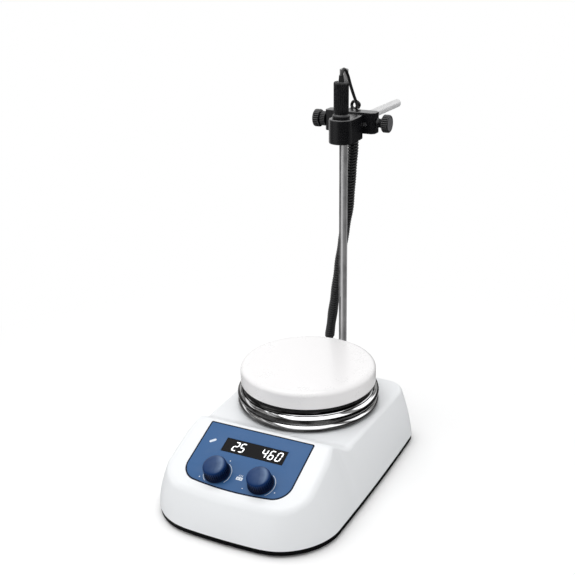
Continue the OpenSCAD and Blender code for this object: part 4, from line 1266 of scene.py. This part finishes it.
for material, width, names in CARRIED:
    for name in names.split():
        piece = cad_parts[name]
        piece.data.materials.clear()
        piece.data.materials.append(material)
        for polygon in piece.data.polygons:
            polygon.material_index = 0
        piece.modifiers.new("weld", "WELD").merge_threshold = 0.000004
        set_bevel(piece.modifiers.new("edge", "BEVEL"), width, segments=2, limit=50)


# ------------------------------------------------------------------ camera, floor and light
def camera():
    place_at = Vector((0.34066, -0.68918, 0.46526))
    pitch, roll = 0.432023, 0.0057355
    forward = Vector((-math.sin(CAMERA_YAW) * math.cos(pitch),
                      math.cos(CAMERA_YAW) * math.cos(pitch), -math.sin(pitch)))
    level = Vector(CAMERA_RIGHT)
    upright = level.cross(forward)
    right = math.cos(roll) * level + math.sin(roll) * upright
    up = -math.sin(roll) * level + math.cos(roll) * upright
    data = bpy.data.cameras.new("cam")
    data.sensor_width = 36
    data.lens = 56.347826
    data.shift_x, data.shift_y = -0.09706087, 0.10452174
    data.clip_start, data.clip_end = 0.01, 20
    item = link(bpy.data.objects.new("cam", data))
    rows = zip(right, up, -forward, place_at)
    item.matrix_world = Matrix((*rows, (0, 0, 0, 1)))
    scene.camera = item


def floor_paper():
    """Near-white paper that fades to pure white away from the product."""
    s = Surface("floor_paper", (0.94, 0.94, 0.94), rough=0.8, spec=0.1)
    s.drift((0.935, 0.935, 0.935), scale=3)
    s.bump(s.noise(300), distance=0.00005)
    s.done()
    position = s.node("NewGeometry").outputs["Position"]
    flat = s.node("VectorMath", {0: position, 1: (1, 1, 0)}, operation="MULTIPLY")
    distance = s.node("VectorMath", {0: flat.outputs[0]}, operation="LENGTH").outputs["Value"]
    fade = map_range(s.tree, distance, 0.16, 0.5, (0, 1), interpolation_type="SMOOTHSTEP")
    glow = s.node("Emission", {1: 1.0})
    paper = s.node("MixShader", {0: fade, 1: s.shader.outputs[0], 2: glow.outputs[0]})
    # shiny pieces see a dark bench with soft strips on it, placed by compass bearing
    axes = s.node("SeparateXYZ", {0: position}).outputs
    bearing = s.math("ARCTAN2", s.math("SUBTRACT", axes["Y"], 0.06), axes["X"])
    strips = s.curve(s.math("DIVIDE", bearing, math.pi), [
        (-1, .16), (-.86, .14), (-.74, .26), (-.62, .26), (-.5, .06), (-.36, .01), (-.2, 0),
        (.02, 0), (.18, .14), (.28, .14), (.40, 0), (.62, 0), (.74, .9), (.84, 1.0),
        (.93, .45), (1, .16)])
    bench = s.node("Emission", {0: (1, 1, 1, 1), 1: strips})
    glossy = s.node("LightPath").outputs["Is Glossy Ray"]
    pick = s.node("MixShader", {0: glossy, 1: paper.outputs[0], 2: bench.outputs[0]})
    s.tree.links.new(pick.outputs[0], s.tree.nodes["Material Output"].inputs[0])
    return s.material


def studio_world():
    """White to the camera, soft light on surfaces, and a darker horizon in reflections."""
    world = bpy.data.worlds.new("studio")
    scene.world = world
    world.use_nodes = True
    tree = world.node_tree
    background = tree.nodes["Background"]
    background.inputs[0].default_value = (1, 1, 1, 1)
    direction = add_node(tree, "TexCoord").outputs["Generated"]
    height = add_node(tree, "SeparateXYZ", {0: direction}).outputs["Z"]
    smooth = {"interpolation_type": "SMOOTHSTEP"}
    sky = map_range(tree, height, lo=0.0, hi=1.0, to=(0.62, 0.90), **smooth)
    shiny = map_range(tree, height, lo=0.02, hi=0.26, to=(0.08, 1.35), **smooth)
    rays = add_node(tree, "LightPath").outputs
    strength = sky
    for ray, level in (("Is Glossy Ray", shiny), ("Is Camera Ray", 1.0)):
        inputs = {0: rays[ray], 2: strength, 3: level}
        strength = add_node(tree, "Mix", inputs, data_type="FLOAT").outputs[0]
    tree.links.new(strength, background.inputs[1])


def area_light(name, location, target, size, power):
    light = bpy.data.lights.new(name, "AREA")
    light.energy = power
    light.shape = "RECTANGLE"
    light.size = light.size_y = size
    item = link(bpy.data.objects.new(name, light))
    item.location = location
    facing = Vector(target) - Vector(location)
    item.rotation_euler = facing.to_track_quat("-Z", "Y").to_euler()


camera()
corners = rectangle(-20000, -20000, 20000, 20000)
floor = make_piece("floor", [(x, y, -0.15) for x, y in corners], [(0, 1, 2, 3)])
floor.data.materials.append(floor_paper())
studio_world()
area_light("overhead", (-0.35, -0.15, 1.9), target=(0, 0, 0.1), size=1.5, power=14.5)
area_light("left", (-1.5, -0.9, 0.9), target=(0, 0, 0.15), size=0.7, power=2.0)
scene.view_settings.view_transform = "Standard"
scene.view_settings.look = "None"
